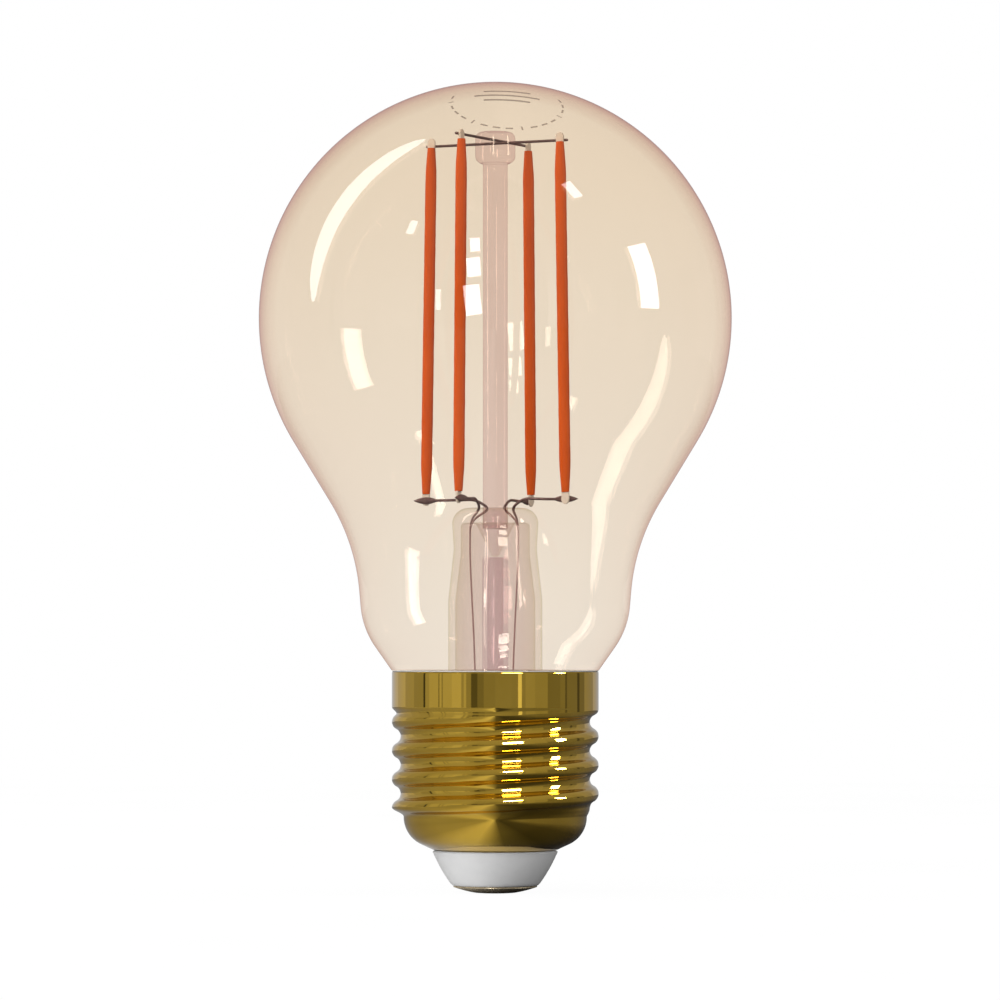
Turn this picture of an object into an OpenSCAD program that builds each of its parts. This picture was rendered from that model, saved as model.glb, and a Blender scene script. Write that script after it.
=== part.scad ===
// LED filament smart lamp with an amber A60 glass bulb and an E27 screw cap.
// Millimetres, +Z towards the globe, origin at the centre of the bottom contact's flat.

/* [Overall] */
// Height from the bottom contact to the top of the globe
overall_h = 102.75; // [102.5:0.25:130]
// Outside diameter of the globe
globe_d = 60; // [44:0.5:60.5]

/* [Glass bulb] */
// Thickness of the bulb's glass
glass_wall = 0.7; // [0.5:0.05:1]
// Slope from vertical of the glass just above the cap
rim_slope = 35; // [32:1:40]
// Height of the sloping rim just above the cap
rim_cone_h = 2.94; // [2:0.02:4]
// Radius that turns the rim into the neck
hip_r = 10.5; // [8:0.25:12]
// Slope from vertical of the neck
neck_slope = 5; // [4:0.5:8]
// Height of the straight neck
neck_h = 2; // [1:0.25:3]
// Radius of the hollow curve between the neck and the globe
waist_r = 26; // [18:0.5:26]
// Length of the narrow neck that sits in the cap
seat_depth = 7.6; // [6:0.2:8]

/* [Screw cap] */
// Height of the cap's top edge above the bottom contact
cap_top = 28; // [27:0.25:29]
// Outside diameter of the skirt and of the thread's crests
cap_d = 26.2; // [25:0.1:32]
// Thickness of the cap's sheet metal
cap_wall = 0.35; // [0.3:0.01:0.4]
// Height of the plain skirt above the thread
skirt_h = 4.5; // [3:0.25:5]
// Pitch of the right-hand thread
thread_pitch = 3.629; // [3:0.001:4]
// Depth of the thread from crest to root
thread_depth = 1.1; // [0.8:0.05:1.3]
// Height of a crest on the +X side, which sets where the thread starts
crest_z = 19.8; // [18:0.1:21]
// How far the rounded bottom is set in from the thread's roots
bowl_inset = 0.4; // [0.2:0.05:0.8]
// Height where the rounded bottom starts
bowl_top = 9.6; // [9:0.1:11]
// Radius of the rounded bottom
bowl_r = 3.8; // [3:0.1:4]
// Slope from horizontal of the bottom's inner edge
bowl_slope = 24; // [18:1:30]
// Radius where the cap's metal ends around the insulator
bowl_hole_r = 7.6; // [7.2:0.1:8]
// Thickness of the cement line seen between the cap and the glass
cement_line = 0.15; // [0.1:0.05:0.4]

/* [Insulator and contact] */
// Radius of the insulator where it leaves the cap
cone_top_r = 7.95; // [7.7:0.05:8.4]
// Radius of the insulator at the contact
cone_low_r = 5.5; // [4.5:0.1:6]
// Radius of the insulator's slight outward curve
cone_curve_r = 20; // [15:1:60]
// Height of the insulator's lower face
cone_low_z = 0.95; // [0.8:0.05:1.2]
// Radius of the bottom contact
contact_r = 5.3; // [4:0.1:5.4]
// Radius of the flat at the middle of the contact
contact_flat_r = 2.4; // [1.5:0.1:3]
// How far the contact's edge stands above its flat
contact_rise = 0.74; // [0.5:0.02:0.8]
// Radius of the contact's pin
pin_r = 1.1; // [0.8:0.05:1.4]

/* [Glass stem] */
// Height of the stem's top above the cap's top edge
stem_h = 20.7; // [17:0.1:25]
// Radius of the stem's solid head
head_r = 5.46; // [4.8:0.02:6]
// Radius that rounds the stem's head
head_round = 2; // [1:0.1:2.4]
// Radius of the stem below its head
stem_r = 5.96; // [5.4:0.02:6.4]
// Height of the stem's solid head
head_h = 5.9; // [5:0.1:7]
// Thickness of the stem's glass
stem_wall = 0.9; // [0.7:0.05:1.1]
// Radius of the flare at the bottom of the stem
flare_r = 8; // [7:0.25:9]
// Outside radius of the exhaust tube
exhaust_r = 1.65; // [1.4:0.05:1.8]
// Bore radius of the exhaust tube
exhaust_bore_r = 1; // [0.7:0.05:1.1]
// How far the exhaust tube's sealed tip stays above the bottom of the bulb's neck
tip_inset = 1.85; // [1:0.05:3]
// Radius of the glass rod that holds the filaments
rod_r = 1.575; // [1.3:0.025:1.9]
// How far the rod goes into the stem's head
rod_sink = 2.6; // [2:0.1:3.2]
// Radius of the glass bead on the rod
bead_r = 2.55; // [2.2:0.05:3]
// Height of the glass bead
bead_h = 4; // [3.4:0.1:4.4]
// Radius that rounds the bead's edges
bead_round = 0.9; // [0.5:0.05:1.2]
// Height of the two top wires above the middle of the bead
bead_drop = 0.8; // [0:0.05:0.9]

/* [Filaments] */
// Length of a filament's coating
coat_l = 44.3; // [36:0.1:46]
// Radius of the coating at the middle
coat_r = 0.72; // [0.65:0.01:0.9]
// Radius of the coating at its ends
coat_end_r = 0.5; // [0.48:0.01:0.6]
// Length over which the coating narrows at each end
coat_taper = 3.5; // [2:0.1:6]
// Height of the coating's lower end above the stem
coat_rise = 1.9; // [1.5:0.1:4]
// Distance of a filament's foot from the axis
foot_r = 9.95; // [9:0.05:11]
// Distance of a filament's top from the axis
tip_r = 9.2; // [8.5:0.05:10.5]
// Direction of filament 4 around the axis
first_turn = -27.4; // [-45:0.1:45]
// Width of the carrier strip inside the coating
strip_w = 0.84; // [0.6:0.01:0.85]
// Thickness of the carrier strip and its end tabs
strip_t = 0.3; // [0.2:0.01:0.4]
// Width of the end tabs
tab_w = 1.05; // [0.9:0.05:1.2]
// Length of the top tab
top_tab_l = 1.2; // [1:0.1:1.6]
// Length of the bottom tab
low_tab_l = 1.5; // [1.2:0.1:1.8]
// LED chips on each filament
die_count = 28; // [8:1:36]
// Size of an LED chip along the strip
die_l = 0.7; // [0.4:0.05:0.8]

/* [Wires] */
// Diameter of the support and lead wires
wire_d = 0.35; // [0.3:0.01:0.4]
// Height of the lower top wire, above the lower end of the top tabs
top_wire_rise = 0.2; // [0.2:0.05:0.4]
// Distance between the heights of the two top wires
wire_gap = 0.45; // [0.45:0.05:0.7]
// How far a top wire stands past its filaments
wire_tail = 1; // [0.7:0.1:1.5]
// How far a lead wire's pointed end stands past its filament
crimp_tail = 1.6; // [1.2:0.1:2]
// Length of the flattened end of a lead wire
crimp_l = 3.6; // [2.4:0.1:4]
// Height of the flattened end
crimp_h = 0.9; // [0.6:0.05:1]
// Depth of a lead wire below the filament's coating
lead_drop = 0.85; // [0.6:0.05:1]

/* [Driver] */
// Gap between the driver's housing and the inside of the thread
housing_gap = 0.35; // [0.2:0.05:0.6]
// Thickness of the housing's wall
housing_wall = 0.5; // [0.4:0.05:0.7]
// Gap between the housing's top and the glass neck
housing_top_gap = 0.3; // [0.1:0.05:0.5]
// Height of the top of the insulator inside the cap
floor_z = 7.6; // [7.2:0.1:8]
// Height of the top face of the driver board above the insulator
board_rise = 5.9; // [5:0.1:6.2]
// Thickness of the driver board
board_t = 1; // [0.8:0.1:1.2]
// Gap around the driver board
board_gap = 0.15; // [0.1:0.05:0.3]
// Thickness of the radio board
radio_t = 0.8; // [0.6:0.1:1]
// Width of the radio board
radio_w = 13; // [11:0.5:13.5]
// Height of the radio board above the driver board
radio_h = 5.8; // [5:0.1:6]
// Distance of the radio board from the axis
radio_y = 6.2; // [5.5:0.1:7]
// Radius of the bulk capacitor
cap_can_r = 2.5; // [2:0.1:3]
// Height of the bulk capacitor
cap_can_h = 5.4; // [4:0.1:5.6]
// Radius of the choke's ferrite flanges
choke_r = 2.7; // [2:0.1:3]
// Height of the choke
choke_h = 4.2; // [3:0.1:4.6]
// Diameter of the insulated mains wires
mains_wire_d = 1; // [0.8:0.05:1.2]

/* [Hidden] */
$fn = 96;
eps = 0.01;

// Colours of the materials
GLASS = [0.92, 0.80, 0.68, 0.35];
STEM_GLASS = [0.86, 0.78, 0.74, 0.5];
ORANGE = [0.79, 0.32, 0.16];
BRASS = [0.79, 0.64, 0.18];
WHITE = [0.88, 0.88, 0.88];
TAB = [0.80, 0.78, 0.74];
NICKEL = [0.45, 0.35, 0.36];
CEMENT = [0.80, 0.78, 0.74];
BOARD = [0.10, 0.38, 0.20];
BLACK = [0.12, 0.12, 0.13];
TIN = [0.75, 0.76, 0.78];
COPPER = [0.75, 0.42, 0.22];
FERRITE = [0.25, 0.25, 0.26];
FUSE = [0.55, 0.75, 0.65];
CERAMIC = [0.75, 0.68, 0.55];
RED = [0.75, 0.12, 0.10];
BLUE = [0.10, 0.25, 0.65];
GOLD = [0.95, 0.80, 0.35];

// ---- Bulb outline: the centres of its arcs, from the cap's rim upwards ----
globe_r = globe_d / 2;
cap_r = cap_d / 2;
root_r = cap_r - thread_depth;
root_in_r = root_r - cap_wall;
skirt_in_r = cap_r - cap_wall;
rim_overhang = 0.05;
seat_z = cap_top + cement_line;
cement_gap = 0.45;
neck_r = root_in_r - cement_gap;
neck_low_z = seat_z - seat_depth;
stem_top = cap_top + stem_h;
hollow_top = stem_top - head_h;
exhaust_tip = neck_low_z + tip_inset;
coat_z = stem_top + coat_rise;

// Outward normal of a wall that leans out by an angle from vertical
function lean(a) = [cos(a), -sin(a)];
// Direction up such a wall
function along(a) = [sin(a), cos(a)];

rim_p = [cap_r + rim_overhang, seat_z];
hip_end = rim_p + along(rim_slope) * rim_cone_h / cos(rim_slope);
hip_c = hip_end - hip_r * lean(rim_slope);
neck_p = hip_c + hip_r * lean(neck_slope) + neck_h * along(neck_slope);
waist_c = neck_p + waist_r * lean(neck_slope);
globe_c = [0, overall_h - globe_r];
// Slope of the straight stretch that touches both the waist's and the globe's circles
to_waist = waist_c - globe_c;
taper_slope = -atan2(to_waist[1], to_waist[0]) - acos((globe_r + waist_r) / norm(to_waist));

// Points along an arc in a half section
function arc(centre, r, from, to, steps) = [
  for (i = [0 : steps])
    let (a = from + (to - from) * i / steps)
    centre + r * [cos(a), sin(a)]
];
function reversed(points) = [for (i = [len(points) - 1 : -1 : 0]) points[i]];

// Bulb's outline from the top down, moved in by a depth from the outer face
function bulb_outline(inset) =
  let (
    shoulder_z = seat_z + inset,
    hip_low = hip_c + (hip_r - inset) * lean(rim_slope),
    fall = (hip_low[1] - shoulder_z) / cos(rim_slope)
  )
  concat(
    arc(globe_c, globe_r - inset, 90, -taper_slope, 36),
    arc(waist_c, waist_r + inset, 180 - taper_slope, 180 - neck_slope, 12),
    arc(hip_c, hip_r - inset, -neck_slope, -rim_slope, 10),
    [
      hip_low - fall * along(rim_slope),
      [neck_r - inset, shoulder_z],
      [neck_r - inset, neck_low_z]
    ]
  );

module glass_envelope() {
  color(GLASS) rotate_extrude()
    polygon(concat(bulb_outline(0), reversed(bulb_outline(glass_wall))));
}

// ---- Wires ----
wire_sides = 10;
bend_share = 0.3;
bend_steps = 3;

function unit(v) = v / norm(v);

// Points of a route with each corner rounded
function rounded(route) = concat(
  [route[0]],
  [
    for (i = [1 : 1 : len(route) - 2])
      let (
        reach = bend_share * min(norm(route[i] - route[i - 1]), norm(route[i + 1] - route[i])),
        a = route[i] + reach * unit(route[i - 1] - route[i]),
        b = route[i] + reach * unit(route[i + 1] - route[i])
      )
      for (k = [0 : bend_steps])
        let (t = k / bend_steps)
        (1 - t) * (1 - t) * a + 2 * t * (1 - t) * route[i] + t * t * b
  ],
  [route[len(route) - 1]]
);

// A round wire along a route, as one swept tube
module wire(route, d) {
  path = rounded(route);
  last = len(path) - 1;
  ways = [
    for (i = [0 : last])
      unit(path[min(i + 1, last)] - path[i] == [0, 0, 0]
        ? path[i] - path[i - 1]
        : unit(path[min(i + 1, last)] - path[i])
          + (i == 0 ? [0, 0, 0] : unit(path[i] - path[i - 1])))
  ];
  start = abs(ways[0][2]) < 0.9 ? [0, 0, 1] : [1, 0, 0];
  sides = [
    for (i = 0, n = unit(cross(ways[0], start)); i <= last;
      i = i + 1, n = i <= last ? unit(n - (n * ways[i]) * ways[i]) : n) n
  ];
  points = [
    for (i = [0 : last], j = [0 : wire_sides - 1])
      let (a = 360 * j / wire_sides)
      path[i] + d / 2 * (cos(a) * sides[i] + sin(a) * cross(ways[i], sides[i]))
  ];
  walls = [
    for (i = [0 : last - 1], j = [0 : wire_sides - 1])
      let (k = (j + 1) % wire_sides, a = i * wire_sides)
      each [
        [a + j, a + wire_sides + j, a + wire_sides + k],
        [a + j, a + wire_sides + k, a + k]
      ]
  ];
  caps = [
    [for (j = [0 : wire_sides - 1]) j],
    [for (j = [wire_sides - 1 : -1 : 0]) last * wire_sides + j]
  ];
  polyhedron(points = points, faces = concat(walls, caps));
}

// Point at a distance from the axis, in a direction, moved sideways
function around(turn, r, side, z) =
  [r * cos(turn) - side * sin(turn), r * sin(turn) + side * cos(turn), z];

// Directions of filaments 1 to 4
TURNS = [first_turn + 180, first_turn + 270, first_turn + 90, first_turn];
crimp_extra_t = 0.05;
crimp_t = wire_d + crimp_extra_t;
wire_side = (strip_t + crimp_t) / 2;
tilt = asin((foot_r - tip_r) / coat_l);
coat_top_z = coat_z + coat_l * cos(tilt);
lead_z = coat_z - lead_drop;

// Where each lead enters the stem, then its place in the stem's hollow
LEAD_IN = [[-0.7, 2.7], [-1.9, -2.4], [1.0, 3.0], [2.1, -2.4]];
LEAD_SIDE = [[-3.2, 0.9], [-3.2, -0.9], [2.9, 0.9], [2.9, -0.9]];
lead_low_shift = 0.7;
lead_bend_share = 0.22;
lead_neck = 0.3;
lead_lift = 0.1;
head_bend_z = stem_top - 1.7;
lead_straight_z = hollow_top - 0.6;
solder_h = 0.7;

function bend_in(n) = LEAD_IN[n] + lead_bend_share * (
  [around(TURNS[n], foot_r, 0, 0)[0], around(TURNS[n], foot_r, 0, 0)[1]] - LEAD_IN[n]);
function xyz(p, z) = [p[0], p[1], z];
function low_side(n) = LEAD_SIDE[n] - [sign(LEAD_SIDE[n][0]) * lead_low_shift, 0];

function lead_path(n) = [
  around(TURNS[n], foot_r + crimp_tail - crimp_l / 2, wire_side, lead_z),
  around(TURNS[n], foot_r + crimp_tail - crimp_l - lead_neck, wire_side, lead_z),
  xyz(bend_in(n), lead_z + lead_lift),
  xyz(LEAD_IN[n], stem_top),
  xyz(LEAD_SIDE[n], head_bend_z),
  xyz(LEAD_SIDE[n], lead_straight_z),
  xyz(low_side(n), cap_top),
  xyz(low_side(n), board_z)
];

module lead_wire(n) {
  color(NICKEL) {
    wire(lead_path(n), wire_d);
    rotate([0, 0, TURNS[n]])
      translate([foot_r + crimp_tail - crimp_l / 2, wire_side + crimp_t / 2, lead_z])
        rotate([90, 0, 0]) crimp();
  }
}

// Flattened, pointed end of a lead wire, its length along X
module crimp() {
  bulge_r = (pow(crimp_l, 2) + pow(crimp_h, 2)) / (4 * crimp_h);
  linear_extrude(crimp_t) intersection() {
    translate([0, bulge_r - crimp_h / 2]) circle(r = bulge_r);
    translate([0, crimp_h / 2 - bulge_r]) circle(r = bulge_r);
  }
}

module top_wire(turn, z) {
  color(NICKEL) rotate([0, 0, turn])
    translate([-tip_r - wire_tail, wire_side, z])
      rotate([0, 90, 0]) cylinder(h = 2 * (tip_r + wire_tail), d = wire_d, $fn = 24);
}

wire_a_z = coat_top_z + top_wire_rise;
wire_b_z = wire_a_z + wire_gap;
bead_z = (wire_a_z + wire_b_z) / 2 - bead_drop - bead_h / 2;

// ---- Filaments ----
// Children stand on a filament's foot, with +X away from the axis
module at_filament(n) {
  rotate([0, 0, TURNS[n]])
    translate([foot_r, 0, coat_z])
      rotate([0, -tilt, 0]) children();
}

die_step = (coat_l - 2 * coat_taper) / (die_count - 1);
die_h = 0.12;
die_w = 0.4;

module dies() {
  for (i = [0 : die_count - 1])
    translate([-die_w / 2, strip_t / 2, coat_taper + i * die_step - die_l / 2])
      cube([die_w, die_h, die_l]);
}

module strip() {
  translate([-strip_w / 2, -strip_t / 2, -eps])
    cube([strip_w, strip_t, coat_l + 2 * eps]);
  translate([-tab_w / 2, -strip_t / 2, -low_tab_l])
    cube([tab_w, strip_t, low_tab_l]);
  translate([-tab_w / 2, -strip_t / 2, coat_l])
    cube([tab_w, strip_t, top_tab_l]);
}

module coat() {
  rotate_extrude($fn = 32)
    polygon([
      [0, 0],
      [coat_end_r, 0],
      [coat_r, coat_taper],
      [coat_r, coat_l - coat_taper],
      [coat_end_r, coat_l],
      [0, coat_l]
    ]);
}

module filament(n) {
  color(ORANGE) at_filament(n) difference() {
    coat();
    strip();
    dies();
  }
}

module filament_strip(n) {
  color(TAB) at_filament(n) strip();
}

module led_chips() {
  color(GOLD) for (n = [0 : 3]) at_filament(n) dies();
}

// ---- Glass stem ----
seal_r = neck_r - glass_wall;
flare_x = stem_r + flare_r;
flare_turn = acos((flare_x - seal_r) / flare_r);
hollow_turn = acos((flare_x - seal_r) / (flare_r + stem_wall));
flare_z = neck_low_z + (flare_r + stem_wall) * sin(hollow_turn);
vent_r = 0.5;
vent_rise = 0.8;
vent_slope = 30;
head_low_z = hollow_top + 0.7;
stem_wide_z = hollow_top - 5.8;
pinch = 0.2;
rod_low_z = stem_top - rod_sink;
hollow_r = stem_r - stem_wall;
hollow_neck_r = head_r - pinch - stem_wall;
hollow_round = hollow_neck_r - exhaust_r;

module stem_flare() {
  outside = concat(
    [[0, rod_low_z], [rod_r, rod_low_z], [rod_r, stem_top]],
    arc([head_r - head_round, stem_top - head_round], head_round, 90, 0, 8),
    [[head_r - pinch, head_low_z], [stem_r, stem_wide_z]],
    arc([flare_x, flare_z], flare_r, 180, 180 + flare_turn, 12)
  );
  inside = concat(
    arc([flare_x, flare_z], flare_r + stem_wall, 180 + hollow_turn, 180, 12),
    [[hollow_r, stem_wide_z]],
    arc([exhaust_r, hollow_top - hollow_round], hollow_round, 0, 90, 8),
    [[0, hollow_top]]
  );
  color(STEM_GLASS) difference() {
    rotate_extrude() polygon(concat(outside, inside));
    for (n = [0 : 3]) wire(lead_path(n), wire_d);
    translate([0, 0, hollow_top - 1]) cylinder(h = 1 + vent_rise + vent_r, r = vent_r);
    translate([0, 0, hollow_top + vent_rise]) rotate([vent_slope - 90, 0, 0])
      cylinder(h = 2 * head_r, r = vent_r);
  }
}

module exhaust_tube() {
  color(STEM_GLASS) difference() {
    union() {
      translate([0, 0, exhaust_tip + exhaust_r])
        cylinder(h = hollow_top - exhaust_tip - exhaust_r, r = exhaust_r);
      translate([0, 0, exhaust_tip + exhaust_r]) sphere(r = exhaust_r);
    }
    translate([0, 0, exhaust_tip + exhaust_r])
      cylinder(h = hollow_top, r = exhaust_bore_r);
  }
}

module stem_rod() {
  color(STEM_GLASS) translate([0, 0, rod_low_z])
    cylinder(h = bead_z - rod_low_z, r = rod_r);
}

module glass_bead() {
  color(STEM_GLASS) difference() {
    translate([0, 0, bead_z]) rotate_extrude() {
      square([bead_r - bead_round, bead_h]);
      translate([0, bead_round]) square([bead_r, bead_h - 2 * bead_round]);
      for (z = [bead_round, bead_h - bead_round])
        translate([bead_r - bead_round, z]) circle(r = bead_round);
    }
    top_wire(first_turn, wire_a_z);
    top_wire(first_turn + 90, wire_b_z);
  }
}

// ---- Screw cap ----
skirt_z = cap_top - skirt_h;
bowl_side_r = root_r - bowl_inset;
joint_lap = 0.35;
sheet_shrink = 0.03;
facets = 36;
rows_per_turn = 9;
fade_h = 1.2;
// Radius of the round crests and roots that make up the thread's depth in half a pitch
knuckle_r = (pow(thread_pitch / 4, 2) + pow(thread_depth / 2, 2)) / thread_depth;

// Depth below the crests at a distance along the axis from a crest
function knuckle(away) = away < thread_pitch / 4
  ? knuckle_r - sqrt(pow(knuckle_r, 2) - pow(away, 2))
  : thread_depth - knuckle_r + sqrt(pow(knuckle_r, 2) - pow(thread_pitch / 2 - away, 2));

// Distance from the nearest crest at a turn and a height
function from_crest(turn, z) =
  abs((z - crest_z - thread_pitch * turn / 360) / thread_pitch
    - round((z - crest_z - thread_pitch * turn / 360) / thread_pitch)) * thread_pitch;

function clamp(x) = min(1, max(0, x));

// Radius of the outer face of the thread, which runs into the skirt and the bowl
function thread_r(turn, z) =
  let (
    top_part = clamp((z - (skirt_z - fade_h)) / fade_h),
    low_part = clamp((bowl_top + fade_h - z) / fade_h),
    free_r = cap_r - sheet_shrink - knuckle(from_crest(turn, z)),
    top_r = free_r + (cap_r - sheet_shrink - free_r) * top_part
  )
  top_r + (bowl_side_r - sheet_shrink - top_r) * low_part;

sheet_step = 0.15;
sheet_wall = cap_wall - sheet_step;
sheet_low = bowl_top - joint_lap;
sheet_high = skirt_z + joint_lap;
row_count = ceil((sheet_high - sheet_low) / thread_pitch * rows_per_turn);
ring_size = facets;
skin_size = ring_size * (row_count + 1);

module thread_sheet() {
  row_h = (sheet_high - sheet_low) / row_count;
  points = [
    for (skin = [0, sheet_wall], i = [0 : row_count], j = [0 : facets - 1])
      let (turn = j * 360 / facets, z = sheet_low + i * row_h, r = thread_r(turn, z) - skin)
      [r * cos(turn), r * sin(turn), z]
  ];
  walls = [
    for (i = [0 : row_count - 1], j = [0 : facets - 1])
      let (
        k = (j + 1) % facets,
        a = i * ring_size + j,
        b = i * ring_size + k,
        c = a + ring_size,
        d = b + ring_size
      )
      each [
        [a, c, d], [a, d, b],
        [a + skin_size, d + skin_size, c + skin_size],
        [a + skin_size, b + skin_size, d + skin_size]
      ]
  ];
  top_ring = row_count * ring_size;
  ends = [
    for (j = [0 : facets - 1])
      let (k = (j + 1) % facets)
      each [
        [j, k, k + skin_size], [j, k + skin_size, j + skin_size],
        [top_ring + j, top_ring + k + skin_size, top_ring + k],
        [top_ring + j, top_ring + j + skin_size, top_ring + k + skin_size]
      ]
  ];
  polyhedron(points = points, faces = concat(walls, ends));
}

// Rounded bottom, which ends around the insulator
bowl_c = [bowl_side_r - bowl_r, bowl_top];
bowl_tangent = bowl_c + bowl_r * [sin(bowl_slope), -cos(bowl_slope)];
bowl_low_z = bowl_tangent[1] - (bowl_tangent[0] - bowl_hole_r) * tan(bowl_slope);

module bowl() {
  lift = cap_wall / cos(bowl_slope);
  rotate_extrude() polygon(concat(
    [[bowl_side_r, bowl_top + joint_lap]],
    arc(bowl_c, bowl_r, 0, bowl_slope - 90, 8),
    [[bowl_hole_r, bowl_low_z], [bowl_hole_r, bowl_low_z + lift]],
    arc(bowl_c, bowl_r - cap_wall, bowl_slope - 90, 0, 8),
    [[bowl_side_r - cap_wall, bowl_top + joint_lap]]
  ));
}

module cap_shell() {
  color(BRASS) {
    translate([0, 0, skirt_z]) difference() {
      cylinder(h = skirt_h, r = cap_r);
      translate([0, 0, -1]) cylinder(h = skirt_h + 2, r = skirt_in_r);
    }
    thread_sheet();
    bowl();
  }
}

flange_inset = 0.3;
flange_r = bowl_tangent[0] - flange_inset;
insulator_gap = 0.05;
insulator_seam = 0.08;
cone_top_z = bowl_low_z - insulator_seam;

module cap_insulator() {
  lift = cap_wall / cos(bowl_slope) + insulator_gap;
  chord = [cone_top_r - cone_low_r, cone_top_z - cone_low_z];
  middle = [cone_low_r, cone_low_z] + chord / 2;
  across = [chord[1], -chord[0]] / norm(chord);
  reach = sqrt(pow(cone_curve_r, 2) - pow(norm(chord) / 2, 2));
  color(WHITE) difference() {
    rotate_extrude() {
      intersection() {
        translate(middle - reach * across) circle(r = cone_curve_r, $fn = 360);
        translate([0, cone_low_z]) square([cone_top_r, cone_top_z - cone_low_z]);
      }
      polygon([
        [0, cone_top_z - eps],
        [bowl_hole_r, cone_top_z - eps],
        [bowl_hole_r, bowl_low_z + lift],
        [flange_r, bowl_low_z + lift + (flange_r - bowl_hole_r) * tan(bowl_slope)],
        [flange_r, floor_z],
        [0, floor_z]
      ]);
    }
    translate([0, 0, -1]) cylinder(h = floor_z + 2, r = pin_r);
  }
}

pin_sink = 0.6;
pin_top = floor_z - pin_sink;

module centre_contact() {
  dome_rise = (pow(contact_r, 2) - pow(contact_flat_r, 2) + pow(contact_rise, 2))
    / (2 * contact_rise);
  dome_r = sqrt(pow(dome_rise, 2) + pow(contact_flat_r, 2));
  edge_h = cone_low_z - contact_rise;
  color(BRASS) {
    rotate_extrude() {
      intersection() {
        translate([0, dome_rise]) circle(r = dome_r, $fn = 360);
        square([contact_r, contact_rise]);
      }
      translate([0, contact_rise - eps]) square([contact_r, edge_h + eps]);
    }
    translate([0, 0, contact_rise]) cylinder(h = pin_top - contact_rise, r = pin_r);
  }
}

module basing_cement() {
  color(CEMENT) rotate_extrude() {
    translate([neck_r, neck_low_z])
      square([root_in_r - 2 * sheet_shrink - neck_r, seat_z - neck_low_z]);
    translate([neck_r, skirt_z + 2 * joint_lap])
      square([skirt_in_r - neck_r, skirt_h - 2 * joint_lap]);
    translate([neck_r, cap_top]) square([cap_r - neck_r, cement_line]);
  }
}

// ---- Driver in the cap ----
housing_r = root_in_r - housing_gap;
housing_in_r = housing_r - housing_wall;
housing_top = neck_low_z - housing_top_gap;
housing_foot_r = flange_r;
housing_side_z = bowl_top + 0.6;
ledge_h = 0.8;
ledge_r = housing_in_r - ledge_h;
board_z = floor_z + board_rise;
board_r = housing_in_r - board_gap;
board_low = board_z - board_t;
live_x = 7.4;
live_y = 0.6;
neutral_x = -6;
neutral_y = -4.2;
pad_hole_r = 0.4;
mains_hole_r = mains_wire_d / 2 + 0.15;
slot_low = board_low - 2.6;
neutral_z = slot_low + mains_wire_d / 2 + 0.2;

module driver_housing() {
  color(BLACK) difference() {
    rotate_extrude() difference() {
      polygon([
        [0, floor_z],
        [housing_foot_r, floor_z],
        [housing_r, housing_side_z],
        [housing_r, housing_top],
        [0, housing_top]
      ]);
      polygon([
        [0, floor_z + housing_wall],
        [housing_foot_r - housing_wall, floor_z + housing_wall],
        [ledge_r, housing_side_z],
        [ledge_r, board_low],
        [housing_in_r, board_low],
        [housing_in_r, housing_top + 1],
        [0, housing_top + 1]
      ]);
    }
    translate([0, 0, floor_z - 1]) cylinder(h = housing_wall + 2, r = mains_hole_r);
    translate([-housing_r, neutral_y, neutral_z]) rotate([0, 90, 0])
      cylinder(h = housing_r, r = mains_hole_r);
  }
}

module driver_board() {
  color(BOARD) difference() {
    translate([0, 0, board_low]) cylinder(h = board_t, r = board_r);
    for (p = [[live_x, live_y], [neutral_x, neutral_y]])
      translate(xyz(p, board_low - 1)) cylinder(h = board_t + 2, r = pad_hole_r);
  }
}

capacitor_x = 5.6;
capacitor_y = 5.2;
base_h = 0.6;
base_rim = 0.1;
base_corner = 1;
groove_r = 0.15;
groove_z = 0.9;

module capacitor_base() {
  side = 2 * (cap_can_r + base_rim);
  color(BLACK) translate([capacitor_x, capacitor_y, board_z])
    rotate([0, 0, 45]) translate([-side / 2, -side / 2, 0])
      linear_extrude(base_h) difference() {
        square(side);
        for (x = [0, side])
          translate([x, side]) rotate(45) square(base_corner, center = true);
      }
}

module bulk_capacitor() {
  color(TIN) translate([capacitor_x, capacitor_y, board_z + base_h])
    rotate_extrude() difference() {
      square([cap_can_r, cap_can_h - base_h]);
      translate([cap_can_r, groove_z]) circle(r = groove_r);
    }
}

choke_x = -5.2;
choke_y = 5;
choke_flange_t = 0.7;
choke_core_r = 1.1;
winding_inset = 0.3;

module choke_core() {
  color(FERRITE) translate([choke_x, choke_y, board_z]) {
    for (z = [0, choke_h - choke_flange_t])
      translate([0, 0, z]) cylinder(h = choke_flange_t, r = choke_r);
    cylinder(h = choke_h, r = choke_core_r);
  }
}

module choke_winding() {
  color(COPPER) translate([choke_x, choke_y, board_z + choke_flange_t])
    rotate_extrude() translate([choke_core_r, 0])
      square([choke_r - choke_core_r - winding_inset, choke_h - 2 * choke_flange_t]);
}

// Bridge rectifier under the board
RECTIFIER_AT = [-6.3, 1];
RECTIFIER = [4.8, 4, 1.5];
rectifier_gap = 0.3;
rectifier_leg = 0.7;
leg_inset = 0.7;

module bridge_rectifier() {
  color(BLACK) translate(xyz(RECTIFIER_AT, board_low - rectifier_gap - RECTIFIER[2]))
    cube(RECTIFIER);
  color(TIN)
    for (x = [leg_inset, RECTIFIER[0] - leg_inset - rectifier_leg], y = [-leg_inset, RECTIFIER[1]])
      translate([RECTIFIER_AT[0] + x, RECTIFIER_AT[1] + y, board_low - 1])
        cube([rectifier_leg, rectifier_leg, 1]);
}

fuse_x = 0.4;
fuse_y = 5.4;
fuse_l = 5.6;
fuse_r = 1.1;
fuse_drop = 1.5;
fuse_leg = 0.4;
fuse_leg_out = 0.9;

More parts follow.
